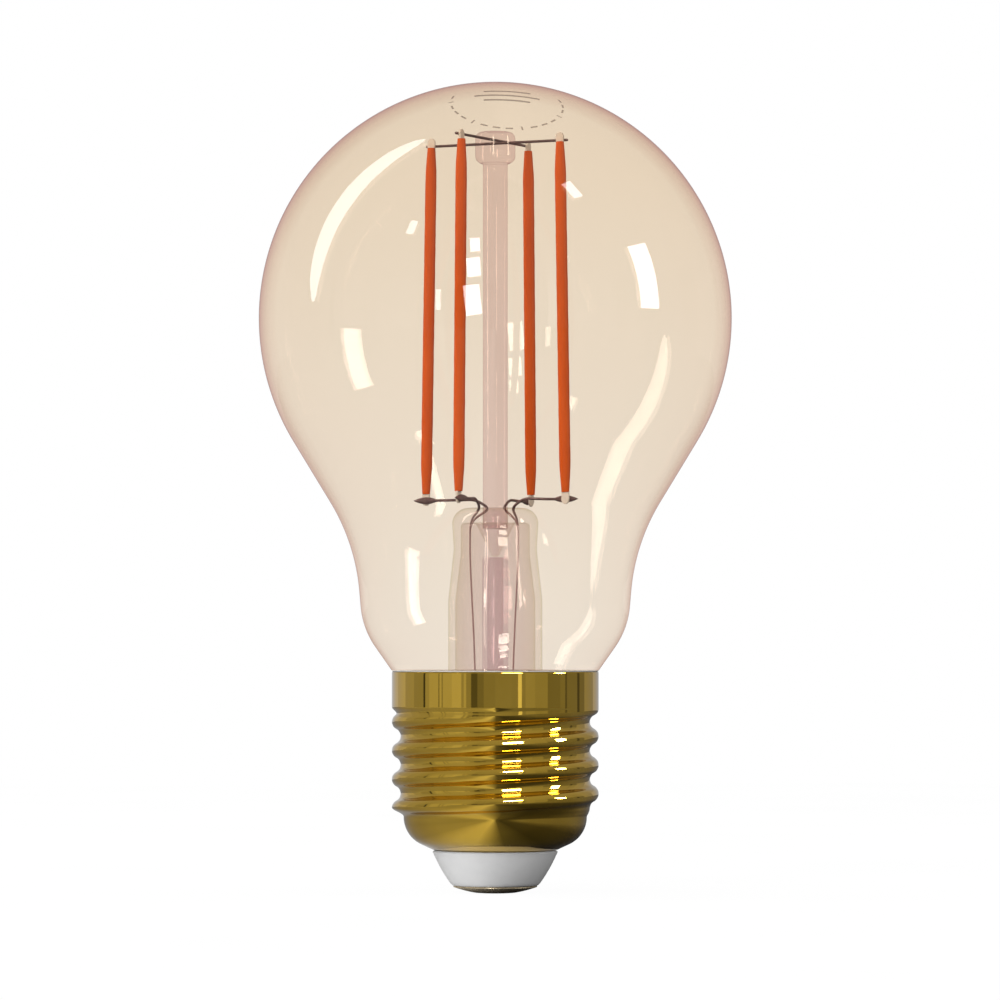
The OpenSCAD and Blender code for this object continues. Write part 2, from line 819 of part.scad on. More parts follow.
module fuse_resistor() {
  axis_z = board_low - fuse_drop;
  color(FUSE) translate([fuse_x, fuse_y, axis_z])
    rotate([0, 90, 0]) cylinder(h = fuse_l, r = fuse_r);
  color(TIN) translate([fuse_x - fuse_leg_out, fuse_y - fuse_leg / 2, axis_z]) {
    translate([0, 0, -fuse_leg / 2]) cube([fuse_l + 2 * fuse_leg_out, fuse_leg, fuse_leg]);
    for (x = [0, fuse_l + 2 * fuse_leg_out - fuse_leg])
      translate([x, 0, 0]) cube([fuse_leg, fuse_leg, fuse_drop]);
  }
}

// Driver chip under the board, with its legs along both long sides
CHIP_AT = [0.2, -5.6];
CHIP = [4.9, 3.9, 1.4];
chip_gap = 0.2;
chip_leg_w = 0.4;
chip_leg_l = 0.9;
chip_leg_gap = 1.2;
chip_leg_x = 0.45;

module driver_chip() {
  color(BLACK) translate(xyz(CHIP_AT, board_low - chip_gap - CHIP[2])) cube(CHIP);
  color(TIN) for (i = [0 : 3], y = [-chip_leg_l, CHIP[1]])
    translate([CHIP_AT[0] + chip_leg_x + i * chip_leg_gap, CHIP_AT[1] + y, board_low - chip_leg_l])
      cube([chip_leg_w, chip_leg_l, chip_leg_l]);
}

// Small resistors and capacitors: a row's start, spacing, count and the size of one
PART_ROWS = [
  [[-2.6, 7, board_z], 1.6, 4, [0.8, 1.6, 0.6]],
  [[-2.6, -2.9, board_z], 2.1, 3, [1.6, 0.8, 0.5]],
  [[-4.8, -7.6, board_low - 0.5], 1.5, 4, [0.8, 1.2, 0.5]]
];

module board_parts() {
  color(CERAMIC) for (row = PART_ROWS, i = [0 : row[2] - 1])
    translate(row[0] + [i * row[1], 0, 0]) cube(row[3]);
}

shield_w = 6.6;
shield_h = 4.4;
shield_t = 1.3;
shield_wall = 0.2;
shield_x = 0.4 - radio_w / 2;
shield_rise = 0.7;
radio_chip_w = 4;
radio_chip_t = 0.8;
aerial_w = 0.35;
aerial_t = 0.05;
aerial_legs = 6;
aerial_step = 0.75;
aerial_gap = 0.7;
aerial_low = 1.2;
aerial_top_gap = 0.6;

module radio_board() {
  color(BOARD) translate([-radio_w / 2, -radio_y - radio_t, board_z])
    cube([radio_w, radio_t, radio_h]);
}

module radio_shield() {
  inside = [shield_w - 2 * shield_wall, shield_t - shield_wall + 1, shield_h - 2 * shield_wall];
  color(TIN) translate([shield_x, -radio_y, board_z + shield_rise]) difference() {
    cube([shield_w, shield_t, shield_h]);
    translate([shield_wall, -1, shield_wall]) cube(inside);
  }
}

module radio_chip() {
  color(BLACK)
    translate([
      shield_x + (shield_w - radio_chip_w) / 2,
      -radio_y,
      board_z + shield_rise + shield_wall
    ])
      cube([radio_chip_w, radio_chip_t, radio_chip_w]);
}

// Meander aerial on the free end of the radio board
module antenna_trace() {
  leg_h = radio_h - aerial_top_gap - aerial_low;
  color(COPPER)
    translate([shield_x + shield_w + aerial_gap, -radio_y, board_z + aerial_low])
      for (i = [0 : aerial_legs - 1]) {
        translate([i * aerial_step, 0, 0]) cube([aerial_w, aerial_t, leg_h]);
        if (i < aerial_legs - 1)
          translate([i * aerial_step, 0, i % 2 == 0 ? leg_h - aerial_w : 0])
            cube([aerial_step + aerial_w, aerial_t, aerial_w]);
      }
}

live_turn_z = floor_z + 1.6;
live_drop = 1.4;
neutral_end = 0.9;

module live_wire() {
  color(RED) wire([
    [0, 0, pin_top],
    [0, 0, live_turn_z],
    [live_x, live_y, board_low - live_drop],
    [live_x, live_y, board_low]
  ], mains_wire_d);
}

module neutral_wire() {
  color(BLUE) wire([
    [neutral_end - root_in_r, neutral_y, neutral_z],
    [neutral_x, neutral_y, neutral_z],
    [neutral_x, neutral_y, board_low]
  ], mains_wire_d);
}

lead_pad_r = 0.7;
cone_tip = 0.1;
pin_stub = 0.4;

// Solder cones on the board's top face, each around its wire
module solder_cone(r, core) {
  difference() {
    cylinder(h = solder_h, r1 = r, r2 = core + cone_tip);
    translate([0, 0, -1]) cylinder(h = solder_h + 2, r = core);
  }
}

module solder_joints() {
  color(TIN) {
    for (n = [0 : 3])
      translate(xyz(low_side(n), board_z)) solder_cone(lead_pad_r, wire_d / 2);
    for (p = [[live_x, live_y], [neutral_x, neutral_y]])
      translate(xyz(p, board_low)) cylinder(h = board_t + pin_stub, r = pad_hole_r);
  }
}

glass_envelope();
stem_flare();
exhaust_tube();
stem_rod();
glass_bead();
filament(0);  // filament_1
filament(1);  // filament_2
filament(2);  // filament_3
filament(3);  // filament_4
filament_strip(0);  // filament_strip_1
filament_strip(1);  // filament_strip_2
filament_strip(2);  // filament_strip_3
filament_strip(3);  // filament_strip_4
led_chips();
top_wire(first_turn, wire_a_z);  // top_wire_a
top_wire(first_turn + 90, wire_b_z);  // top_wire_b
lead_wire(0);  // lead_wire_1
lead_wire(1);  // lead_wire_2
lead_wire(2);  // lead_wire_3
lead_wire(3);  // lead_wire_4
cap_shell();
cap_insulator();
centre_contact();
basing_cement();
driver_housing();
driver_board();
bulk_capacitor();
capacitor_base();
choke_core();
choke_winding();
bridge_rectifier();
fuse_resistor();
driver_chip();
board_parts();
radio_board();
radio_chip();
radio_shield();
antenna_trace();
live_wire();
neutral_wire();
solder_joints();
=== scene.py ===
"""Looks of an LED filament smart lamp: amber globe, glass stem, four filaments and a brass screw cap.

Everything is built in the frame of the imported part: metres, +Z towards the globe, origin at the
bottom contact. Shapes are worked out here in millimetres and scaled by MM.
"""

import math

import bmesh
import bpy
from mathutils import Matrix, Vector


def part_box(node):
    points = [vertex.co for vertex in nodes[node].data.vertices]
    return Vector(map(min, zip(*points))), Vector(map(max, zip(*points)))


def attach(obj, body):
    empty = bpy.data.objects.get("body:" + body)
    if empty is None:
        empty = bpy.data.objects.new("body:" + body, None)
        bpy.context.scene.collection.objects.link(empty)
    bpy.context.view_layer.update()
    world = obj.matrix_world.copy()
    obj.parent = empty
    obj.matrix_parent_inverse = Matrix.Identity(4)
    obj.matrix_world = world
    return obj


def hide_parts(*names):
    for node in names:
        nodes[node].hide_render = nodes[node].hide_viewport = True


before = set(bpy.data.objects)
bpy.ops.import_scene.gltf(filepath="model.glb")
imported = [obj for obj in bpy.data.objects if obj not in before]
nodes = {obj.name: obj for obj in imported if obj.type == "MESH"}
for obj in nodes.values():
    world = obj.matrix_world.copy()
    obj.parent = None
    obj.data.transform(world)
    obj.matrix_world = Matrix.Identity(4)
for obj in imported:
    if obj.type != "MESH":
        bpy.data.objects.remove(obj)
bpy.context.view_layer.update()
scene = bpy.context.scene
MM = 0.001
BODY = "root"


# ---- Sizes, in millimetres ----
def low(node):
    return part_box(node)[0] / MM


def high(node):
    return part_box(node)[1] / MM


OVERALL_H = high("glass_envelope").z
GLOBE_R = high("glass_envelope").x
GLASS_WALL = 0.7
RIM_SLOPE = 35
RIM_CONE_H = 2.94
HIP_R = 10.5
NECK_SLOPE = 5
NECK_H = 2
WAIST_R = 26
NECK_LOW_Z = low("glass_envelope").z

CAP_R = high("cap_shell").x
CAP_TOP = high("cap_shell").z
CAP_WALL = 0.35
EDGE_GAP = 0.05
SKIRT_H = 4.5
SKIRT_Z = CAP_TOP - SKIRT_H
THREAD_PITCH = 3.629
THREAD_DEPTH = 1.1
CREST_Z = 19.8
FADE_H = 1.2
ROOT_R = CAP_R - THREAD_DEPTH
BOWL_INSET = 0.4
BOWL_SIDE_R = ROOT_R - BOWL_INSET
BOWL_TOP = 9.6
BOWL_R = 3.8
BOWL_SLOPE = 24
BOWL_HOLE_R = 7.6
SEAT_Z = high("basing_cement").z
NECK_R = 11.2

CONE_LOW_Z = low("cap_insulator").z
CONE_TOP_R = 7.95
CONE_LOW_R = 5.5
CONE_CURVE_R = 20
CONTACT_R = 5.3
CONTACT_FLAT_R = 2.4
CONTACT_RISE = 0.74
PIN_R = 1.1
FLOOR_Z = high("cap_insulator").z

STEM_TOP = high("stem_flare").z
HEAD_R = 5.46
HEAD_ROUND = 2
HEAD_H = 5.9
HOLLOW_TOP = STEM_TOP - HEAD_H
STEM_R = 5.96
STEM_WALL = 0.9
FLARE_R = 8
EXHAUST_R = 1.65
EXHAUST_BORE_R = 1
EXHAUST_TIP = low("exhaust_tube").z
ROD_R = 1.575
ROD_LOW_Z = low("stem_rod").z
BEAD_R = 2.55
BEAD_ROUND = 0.9
BEAD_LOW_Z = low("glass_bead").z
BEAD_TOP_Z = high("glass_bead").z

COAT_L = 44.3
COAT_R = 0.72
COAT_END_R = 0.5
COAT_TAPER = 3.5
COAT_RISE = 1.9
COAT_Z = STEM_TOP + COAT_RISE
FOOT_R = 9.95
TIP_R = 9.2
FIRST_TURN = -27.4
TURNS = [FIRST_TURN + 180, FIRST_TURN + 270, FIRST_TURN + 90, FIRST_TURN]
TILT = math.asin((FOOT_R - TIP_R) / COAT_L)
STRIP_T = 0.3
TAB_W = 1.05
TOP_TAB_L = 1.2
LOW_TAB_L = 1.5

WIRE_D = 0.35
WIRE_TAIL = 1
CRIMP_TAIL = 1.6
CRIMP_L = 3.6
CRIMP_H = 0.9
CRIMP_T = WIRE_D + 0.05
CRIMP_EDGE = 0.03
CRIMP_END_SHARE = 0.4
CRIMP_POWER = 0.8
WIRE_SIDE = (STRIP_T + CRIMP_T) / 2
LEAD_DROP = 0.85
LEAD_Z = COAT_Z - LEAD_DROP
LEAD_IN = [(-0.7, 2.7), (-1.9, -2.4), (1.0, 3.0), (2.1, -2.4)]
LEAD_SIDE = [(-3.2, 0.9), (-3.2, -0.9), (2.9, 0.9), (2.9, -0.9)]
LEAD_LOW_SHIFT = 0.7
LEAD_BEND_SHARE = 0.22
LEAD_NECK = 0.3
LEAD_LIFT = 0.1
SEAL_DEPTH = 0.4
BOARD_Z = high("driver_board").z


# ---- Small geometry helpers ----
TINY = 1e-6


def lean(angle):
    """Outward normal of a wall that leans out by an angle from vertical."""
    a = math.radians(angle)
    return Vector((math.cos(a), -math.sin(a)))


def along(angle):
    """Direction up such a wall."""
    a = math.radians(angle)
    return Vector((math.sin(a), math.cos(a)))


def arc(centre, radius, start, end, steps):
    """Points along an arc in a half section, angles in degrees."""
    points = []
    for i in range(steps + 1):
        a = math.radians(start + (end - start) * i / steps)
        points.append((centre[0] + radius * math.cos(a), centre[1] + radius * math.sin(a)))
    return points


def around(turn, radius, side, z):
    """Point at a distance from the axis, in a direction, moved sideways."""
    a = math.radians(turn)
    return Vector((
        radius * math.cos(a) - side * math.sin(a),
        radius * math.sin(a) + side * math.cos(a),
        z,
    ))


def smoothstep(start, end, x):
    """Goes smoothly from 0 at start to 1 at end; start may be the larger of the two."""
    t = min(1, max(0, (x - start) / (end - start)))
    return t * t * (3 - 2 * t)


def to_object(name, bm, material, sharp=32):
    """Turns a bmesh in millimetres into a smooth object in metres, with sharp edges kept sharp."""
    bmesh.ops.recalc_face_normals(bm, faces=bm.faces)
    bmesh.ops.scale(bm, vec=(MM, MM, MM), verts=bm.verts)
    limit = math.radians(sharp)
    for edge in bm.edges:
        edge.smooth = len(edge.link_faces) != 2 or edge.calc_face_angle(0) < limit
    for face in bm.faces:
        face.smooth = True
    mesh = bpy.data.meshes.new(name)
    bm.to_mesh(mesh)
    bm.free()
    obj = bpy.data.objects.new(name, mesh)
    scene.collection.objects.link(obj)
    obj.data.materials.append(material)
    return obj


def piece(obj, slot, *replaced):
    """Attaches an object to the lamp's body and hides the CAD nodes that it stands for."""
    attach(obj, BODY)
    if replaced:
        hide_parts(*replaced)
    return obj


def lathe_bmesh(profile, steps=160):
    """Turns a profile of (radius, height) points about the axis. A profile that starts and ends on
    the axis gets poles there, and any other profile is closed into a ring."""
    bm = bmesh.new()
    rows = []
    for radius, z in profile:
        if radius < TINY:
            rows.append([bm.verts.new((0, 0, z))])
        else:
            rows.append([bm.verts.new(around(360 * j / steps, radius, 0, z)) for j in range(steps)])
    pairs = list(zip(rows, rows[1:]))
    if len(rows[0]) > 1 and len(rows[-1]) > 1:
        pairs.append((rows[-1], rows[0]))
    for upper, lower in pairs:
        for j in range(steps):
            k = (j + 1) % steps
            if len(upper) == 1 and len(lower) == 1:
                break
            if len(upper) == 1:
                bm.faces.new((upper[0], lower[j], lower[k]))
            elif len(lower) == 1:
                bm.faces.new((upper[j], lower[0], upper[k]))
            else:
                bm.faces.new((upper[j], lower[j], lower[k], upper[k]))
    return bm


def lathe(name, profile, material, steps=160, sharp=32):
    return to_object(name, lathe_bmesh(profile, steps), material, sharp)


def rounded_route(route, share=0.42, steps=8):
    """Points of a route with each corner rounded by a parabola."""
    points = [route[0]]
    for before, corner, after in zip(route, route[1:], route[2:]):
        reach = share * min((corner - before).length, (after - corner).length)
        a = corner + reach * (before - corner).normalized()
        b = corner + reach * (after - corner).normalized()
        for i in range(steps + 1):
            t = i / steps
            points.append((1 - t) ** 2 * a + 2 * t * (1 - t) * corner + t * t * b)
    points.append(route[-1])
    return points


# Share of a wire's radius that is left at its drawn-in ends
END_SHARE = 0.25
# Upward part of a direction from which it counts as upright
UPRIGHT = 0.9


def sweep(bm, path, radius_at, sides=16):
    """Sweeps a closed tube along a path; radius_at(i, last) gives its half width and half height."""
    last = len(path) - 1
    ways = [(path[min(i + 1, last)] - path[max(i - 1, 0)]).normalized() for i in range(last + 1)]
    start = Vector((0, 0, 1)) if abs(ways[0].z) < UPRIGHT else Vector((1, 0, 0))
    side = ways[0].cross(start).normalized()
    rings = []
    for i, (point, way) in enumerate(zip(path, ways)):
        side = (side - side.dot(way) * way).normalized()
        up = way.cross(side)
        wide, tall = radius_at(i, last)
        ring = []
        for j in range(sides):
            a = 2 * math.pi * j / sides
            ring.append(bm.verts.new(point + wide * math.cos(a) * side + tall * math.sin(a) * up))
        rings.append(ring)
    for upper, lower in zip(rings, rings[1:]):
        for j in range(sides):
            k = (j + 1) % sides
            bm.faces.new((upper[j], lower[j], lower[k], upper[k]))
    bm.faces.new(rings[0])
    bm.faces.new(rings[-1])


def wire(name, route, diameter, material):
    """A round wire along a route with its corners rounded and its ends drawn in."""
    path = rounded_route([Vector(p) for p in route])
    start = path[0] + (path[1] - path[0]).normalized() * diameter / 2
    end = path[-1] + (path[-2] - path[-1]).normalized() * diameter / 2
    path = [path[0], start] + path[1:-1] + [end, path[-1]]

    def size(i, last):
        radius = diameter / 2 * (END_SHARE if i in (0, last) else 1)
        return radius, radius

    bm = bmesh.new()
    sweep(bm, path, size)
    return to_object(name, bm, material, sharp=60)


# ---- Materials ----
def new_material(name):
    material = bpy.data.materials.new(name)
    material.use_nodes = True
    material.node_tree.nodes.clear()
    return material, material.node_tree.nodes, material.node_tree.links


def noise(tree_nodes, links, scale, detail=4, stretch=(1, 1, 1), roughness=0.6):
    """Noise in the object's own coordinates; the scale is in features per millimetre."""
    coords = tree_nodes.new("ShaderNodeTexCoord")
    mapping = tree_nodes.new("ShaderNodeMapping")
    mapping.inputs["Scale"].default_value = stretch
    texture = tree_nodes.new("ShaderNodeTexNoise")
    texture.inputs["Scale"].default_value = scale / MM
    texture.inputs["Detail"].default_value = detail
    texture.inputs["Roughness"].default_value = roughness
    links.new(coords.outputs["Object"], mapping.inputs["Vector"])
    links.new(mapping.outputs["Vector"], texture.inputs["Vector"])
    return texture.outputs["Fac"]


def ramp(tree_nodes, links, value, stops, blend="LINEAR"):
    """A colour ramp; each stop is a position and a colour or a grey."""
    node = tree_nodes.new("ShaderNodeValToRGB")
    node.color_ramp.interpolation = blend
    elements = node.color_ramp.elements
    while len(elements) < len(stops):
        elements.new(0.5)
    for element, (position, colour) in zip(elements, stops):
        element.position = position
        if isinstance(colour, (int, float)):
            colour = (colour, colour, colour)
        element.color = (*colour, 1)
    links.new(value, node.inputs["Fac"])
    return node.outputs["Color"]


def math_node(tree_nodes, links, operation, *values, clamp=False):
    node = tree_nodes.new("ShaderNodeMath")
    node.operation = operation
    node.use_clamp = clamp
    for socket, value in zip(node.inputs, values):
        if isinstance(value, (int, float)):
            socket.default_value = value
        else:
            links.new(value, socket)
    return node.outputs[0]


def position(tree_nodes, links, space="Object"):
    """X, Y and Z of the object's own coordinates, or of another space."""
    coords = tree_nodes.new("ShaderNodeTexCoord")
    split = tree_nodes.new("ShaderNodeSeparateXYZ")
    links.new(coords.outputs[space], split.inputs[0])
    return split.outputs


def mix_colours(tree_nodes, links, factor, *colours):
    """Mixes two colours by a factor; each is a socket or a plain colour."""
    node = tree_nodes.new("ShaderNodeMix")
    node.data_type = "RGBA"
    links.new(factor, node.inputs["Factor"])
    for key, colour in zip("AB", colours):
        if isinstance(colour, tuple):
            node.inputs[key].default_value = colour
        else:
            links.new(colour, node.inputs[key])
    return node.outputs["Result"]


def bump(tree_nodes, links, height, strength, distance):
    """Bump from a height, its depth in millimetres."""
    node = tree_nodes.new("ShaderNodeBump")
    node.inputs["Strength"].default_value = strength
    node.inputs["Distance"].default_value = distance * MM
    links.new(height, node.inputs["Height"])
    return node.outputs["Normal"]


WEAR_GRAIN = 1.7


def surface(
    name, colours, rough, metallic=0.0, grain=2.0, grain_stretch=(1, 1, 1), bump_depth=0.01,
    bump_scale=6.0, settings=None,
):
    """A Principled material whose colour, gloss and relief vary with noise.
    colours and rough are each a pair for the darker and lighter patches."""
    material, tree_nodes, links = new_material(name)
    shader = tree_nodes.new("ShaderNodeBsdfPrincipled")
    output = tree_nodes.new("ShaderNodeOutputMaterial")
    patches = noise(tree_nodes, links, grain, 5, grain_stretch)
    links.new(ramp(tree_nodes, links, patches, [(0.3, colours[0]), (0.7, colours[1])]),
              shader.inputs["Base Color"])
    wear = noise(tree_nodes, links, grain * WEAR_GRAIN, 6, grain_stretch)
    links.new(ramp(tree_nodes, links, wear, [(0.3, rough[0]), (0.75, rough[1])]),
              shader.inputs["Roughness"])
    relief = noise(tree_nodes, links, bump_scale, 3, grain_stretch)
    links.new(bump(tree_nodes, links, relief, 0.5, bump_depth), shader.inputs["Normal"])
    shader.inputs["Metallic"].default_value = metallic
    for key, value in (settings or {}).items():
        shader.inputs[key].default_value = value
    links.new(shader.outputs["BSDF"], output.inputs["Surface"])
    return material


# Heights between which the tint of the glass passes from the neck's to the globe's
NECK_FADE = (28, 92)
GLOSS_COLOUR = (1, 0.97, 0.96, 1)
FRESNEL_POWER = 5


def thin_glass(name, stops, neck_stops, gloss_low, gloss_rim, gloss_back, waves=0.0):
    """Thin tinted glass: clear apart from its tint, which painted rim shade deepens towards the rim,
    with a gloss on top.
    The tint passes from neck_stops to stops up the lamp. The gloss is gloss_low face on, and
    gloss_rim more at the rim. gloss_back scales it on a face that is seen from behind, and waves is
    the depth of the ripples of drawn glass."""
    material, tree_nodes, links = new_material(name)
    output = tree_nodes.new("ShaderNodeOutputMaterial")
    facing = tree_nodes.new("ShaderNodeLayerWeight")
    facing.inputs["Blend"].default_value = 0.5
    rim = facing.outputs["Facing"]
    height = tree_nodes.new("ShaderNodeMapRange")
    height.inputs["From Min"].default_value = NECK_FADE[0] * MM
    height.inputs["From Max"].default_value = NECK_FADE[1] * MM
    links.new(position(tree_nodes, links)["Z"], height.inputs["Value"])
    # The tint face on is the glass's own; its deepening towards the rim is painted shade, set by how
    # squarely the face is seen.
    tints_and_rim_shade = [ramp(tree_nodes, links, rim, colours) for colours in (neck_stops, stops)]
    clear = tree_nodes.new("ShaderNodeBsdfTransparent")
    links.new(mix_colours(tree_nodes, links, height.outputs["Result"], *tints_and_rim_shade), clear.inputs["Color"])
    gloss = tree_nodes.new("ShaderNodeBsdfGlossy")
    smudge = noise(tree_nodes, links, 0.06, 3)
    links.new(ramp(tree_nodes, links, smudge, [(0.45, 0.0), (0.8, 0.03)]), gloss.inputs["Roughness"])
    gloss.inputs["Color"].default_value = GLOSS_COLOUR
    fresnel = math_node(tree_nodes, links, "POWER", rim, FRESNEL_POWER)
    fresnel = math_node(tree_nodes, links, "MULTIPLY_ADD", fresnel, gloss_rim, gloss_low)
    geometry = tree_nodes.new("ShaderNodeNewGeometry")
    side = math_node(
        tree_nodes, links, "MULTIPLY_ADD", geometry.outputs["Backfacing"], gloss_back - 1, 1)
    fresnel = math_node(tree_nodes, links, "MULTIPLY", fresnel, side)
    if waves:
        relief = noise(tree_nodes, links, 0.6, 2, (1, 1, 0.2))
        links.new(bump(tree_nodes, links, relief, 0.4, waves), gloss.inputs["Normal"])
    mix = tree_nodes.new("ShaderNodeMixShader")
    links.new(fresnel, mix.inputs["Fac"])
    links.new(clear.outputs[0], mix.inputs[1])
    links.new(gloss.outputs[0], mix.inputs[2])
    links.new(mix.outputs[0], output.inputs["Surface"])
    return material


# Tints of the glass from face on to the rim: the first stop is the glass's own tint, and the darker
# stops towards 1.0 are painted rim shade.
GLOBE_TINT_AND_RIM_SHADE = [
    (0.0, (0.926, 0.842, 0.730)),
    (0.62, (0.922, 0.834, 0.722)),
    (0.76, (0.875, 0.752, 0.645)),
    (0.88, (0.78, 0.60, 0.53)),
    (1.0, (0.52, 0.34, 0.34)),
]
NECK_TINT_AND_RIM_SHADE = [
    (0.0, (0.951, 0.900, 0.832)),
    (0.70, (0.945, 0.882, 0.812)),
    (0.90, (0.85, 0.73, 0.66)),
    (1.0, (0.64, 0.48, 0.45)),
]
CLEAR = [(0.0, 1.0), (1.0, 1.0)]
STEM_TINT_AND_RIM_SHADE = [
    (0.0, (0.960, 0.928, 0.932)),
    (0.65, (0.955, 0.928, 0.905)),
    (0.85, (0.955, 0.930, 0.865)),
    (0.95, (0.930, 0.890, 0.830)),
    (1.0, (0.700, 0.620, 0.600)),
]
ROD_TINT_AND_RIM_SHADE = [
    (0.0, (0.925, 0.860, 0.868)),
    (0.8, (0.920, 0.845, 0.855)),
    (1.0, (0.720, 0.580, 0.620)),
]
TUBE_TINT_AND_RIM_SHADE = [
    (0.0, (0.960, 0.925, 0.940)),
    (0.8, (0.955, 0.915, 0.930)),
    (1.0, (0.850, 0.770, 0.800)),
]

amber = thin_glass("amber_glass", GLOBE_TINT_AND_RIM_SHADE, NECK_TINT_AND_RIM_SHADE, 0.038, 0.30, gloss_back=0.4)
amber_inner = thin_glass("amber_glass_inner", CLEAR, CLEAR, 0.03, 0.06, gloss_back=0.3)
stem_clear = thin_glass("stem_glass", STEM_TINT_AND_RIM_SHADE, STEM_TINT_AND_RIM_SHADE, 0.045, 0.35, 0.7)
rod_clear = thin_glass("rod_glass", ROD_TINT_AND_RIM_SHADE, ROD_TINT_AND_RIM_SHADE, 0.04, 0.25, 0.7, waves=0.02)
tube_clear = thin_glass("exhaust_glass", TUBE_TINT_AND_RIM_SHADE, TUBE_TINT_AND_RIM_SHADE, 0.04, 0.25, 0.7)
phosphor = surface(
    "phosphor_orange", [(0.58, 0.082, 0.004), (0.68, 0.110, 0.008)], [0.42, 0.6],
    grain=0.35, grain_stretch=(1, 1, 0.25), bump_depth=0.02, bump_scale=1.2,
    settings={"Specular IOR Level": 0.25, "IOR": 1.41},
)
tab_metal = surface(
    "tab_plate", [(0.70, 0.62, 0.56), (0.80, 0.73, 0.68)], [0.3, 0.5], metallic=0.15,
    grain=1.5, bump_depth=0.01,
)
die_crystal = surface("led_die", [(0.55, 0.45, 0.12), (0.7, 0.6, 0.2)], [0.2, 0.4], grain=3)
wire_metal = surface(
    "support_wire_metal", [(0.16, 0.10, 0.105), (0.26, 0.17, 0.17)], [0.28, 0.45], metallic=0.75,
    grain=1.2, bump_depth=0.008, bump_scale=4,
)
sealed_wire = surface(
    "sealed_wire_dumet", [(0.42, 0.27, 0.27), (0.52, 0.35, 0.34)], [0.3, 0.45], metallic=0.3,
    grain=1.2, bump_depth=0.008, bump_scale=4,
)
brass = surface(
    "cap_brass", [(0.84, 0.525, 0.030), (0.90, 0.575, 0.050)], [0.02, 0.06], metallic=1.0,
    grain=0.25, grain_stretch=(1, 1, 0.5), bump_depth=0.0008, bump_scale=1.0,
    settings={
        "Specular Tint": (0.62, 0.60, 0.62, 1), "Coat Weight": 1.0, "Coat Roughness": 0.03,
        "Coat IOR": 1.5,
    },
)
contact_brass = surface(
    "contact_brass", [(0.62, 0.50, 0.32), (0.74, 0.62, 0.42)], [0.2, 0.38], metallic=0.8,
    grain=0.8, bump_depth=0.006, bump_scale=2,
)
white_insulator = surface(
    "white_insulator", [(0.67, 0.67, 0.67), (0.71, 0.71, 0.71)], [0.32, 0.45],
    grain=0.5, bump_depth=0.01, bump_scale=1.5, settings={"Coat Weight": 0.15},
)
cement_grain = surface(
    "basing_cement_grain", [(0.66, 0.66, 0.65), (0.82, 0.81, 0.80)], [0.7, 0.9],
    grain=1.5, bump_depth=0.06, bump_scale=3,
)
print_ink = surface(
    "print_ink", [(0.36, 0.26, 0.20), (0.46, 0.34, 0.27)], [0.5, 0.7], grain=2.5,
    settings={"Alpha": 0.6},
)


# ---- Glass bulb ----
rim_p = Vector((CAP_R + EDGE_GAP, SEAT_Z))
hip_end = rim_p + along(RIM_SLOPE) * RIM_CONE_H / math.cos(math.radians(RIM_SLOPE))
hip_c = hip_end - HIP_R * lean(RIM_SLOPE)
neck_p = hip_c + HIP_R * lean(NECK_SLOPE) + NECK_H * along(NECK_SLOPE)
waist_c = neck_p + WAIST_R * lean(NECK_SLOPE)
globe_c = Vector((0, OVERALL_H - GLOBE_R))
to_waist = waist_c - globe_c
taper_slope = (
    -math.degrees(math.atan2(to_waist.y, to_waist.x))
    - math.degrees(math.acos((GLOBE_R + WAIST_R) / to_waist.length))
)


def bulb_outline(inset):
    """The bulb's half section from the top down, moved in by a depth from the outer face."""
    hip_low = hip_c + (HIP_R - inset) * lean(RIM_SLOPE)
    fall = (hip_low.y - SEAT_Z - inset) / math.cos(math.radians(RIM_SLOPE))
    shoulder = hip_low - fall * along(RIM_SLOPE)
    return (
        [(0, OVERALL_H - inset)]
        + arc(globe_c, GLOBE_R - inset, 90, -taper_slope, 96)[1:]
        + arc(waist_c, WAIST_R + inset, 180 - taper_slope, 180 - NECK_SLOPE, 28)
        + arc(hip_c, HIP_R - inset, -NECK_SLOPE, -RIM_SLOPE, 24)
        + [tuple(shoulder), (NECK_R - inset, SEAT_Z + inset - EDGE_GAP), (NECK_R - inset, NECK_LOW_Z)]
    )


def make_bulb():
    """The blown bulb as one closed wall, with a fainter glass on its inner face."""
    profile = bulb_outline(0) + bulb_outline(GLASS_WALL)[::-1]
    bulb = lathe("glass_bulb", profile, amber, steps=224)
    bulb.data.materials.append(amber_inner)
    middle = Vector((0, 0, globe_c.y))
    for polygon in bulb.data.polygons:
        centre = polygon.center / MM
        if centre.z > middle.z:
            inner = (centre - middle).length < GLOBE_R - GLASS_WALL / 2
        else:
            inner = polygon.normal.x * centre.x + polygon.normal.y * centre.y < 0
        polygon.material_index = int(inner)
    return piece(bulb, "amber_glass", "glass_envelope")


make_bulb()


# ---- Stem, exhaust tube, rod and bead ----
SEAL_R = NECK_R - GLASS_WALL
FLARE_X = STEM_R + FLARE_R
FLARE_TURN = math.degrees(math.acos((FLARE_X - SEAL_R) / FLARE_R))
HOLLOW_TURN = math.degrees(math.acos((FLARE_X - SEAL_R) / (FLARE_R + STEM_WALL)))
FLARE_Z = NECK_LOW_Z + (FLARE_R + STEM_WALL) * math.sin(math.radians(HOLLOW_TURN))
PINCH = 0.2
HEAD_LOW_Z = HOLLOW_TOP + 0.7
STEM_WIDE_Z = HOLLOW_TOP - 5.8
HOLLOW_NECK_R = HEAD_R - PINCH - STEM_WALL
DROP_R = 2.3
DROP_TIP_R = 0.6
DROP_TIP_Z = HOLLOW_TOP + 0.3
CROWN_Z = STEM_TOP - 1.9
CROWN_ROUND = 0.5
ROD_GAP = 0.03
ROD_CHAMFER = 0.1
ROD_CHAMFER_H = 0.15
TUBE_GAP = 0.35
TUBE_EDGE = 0.2


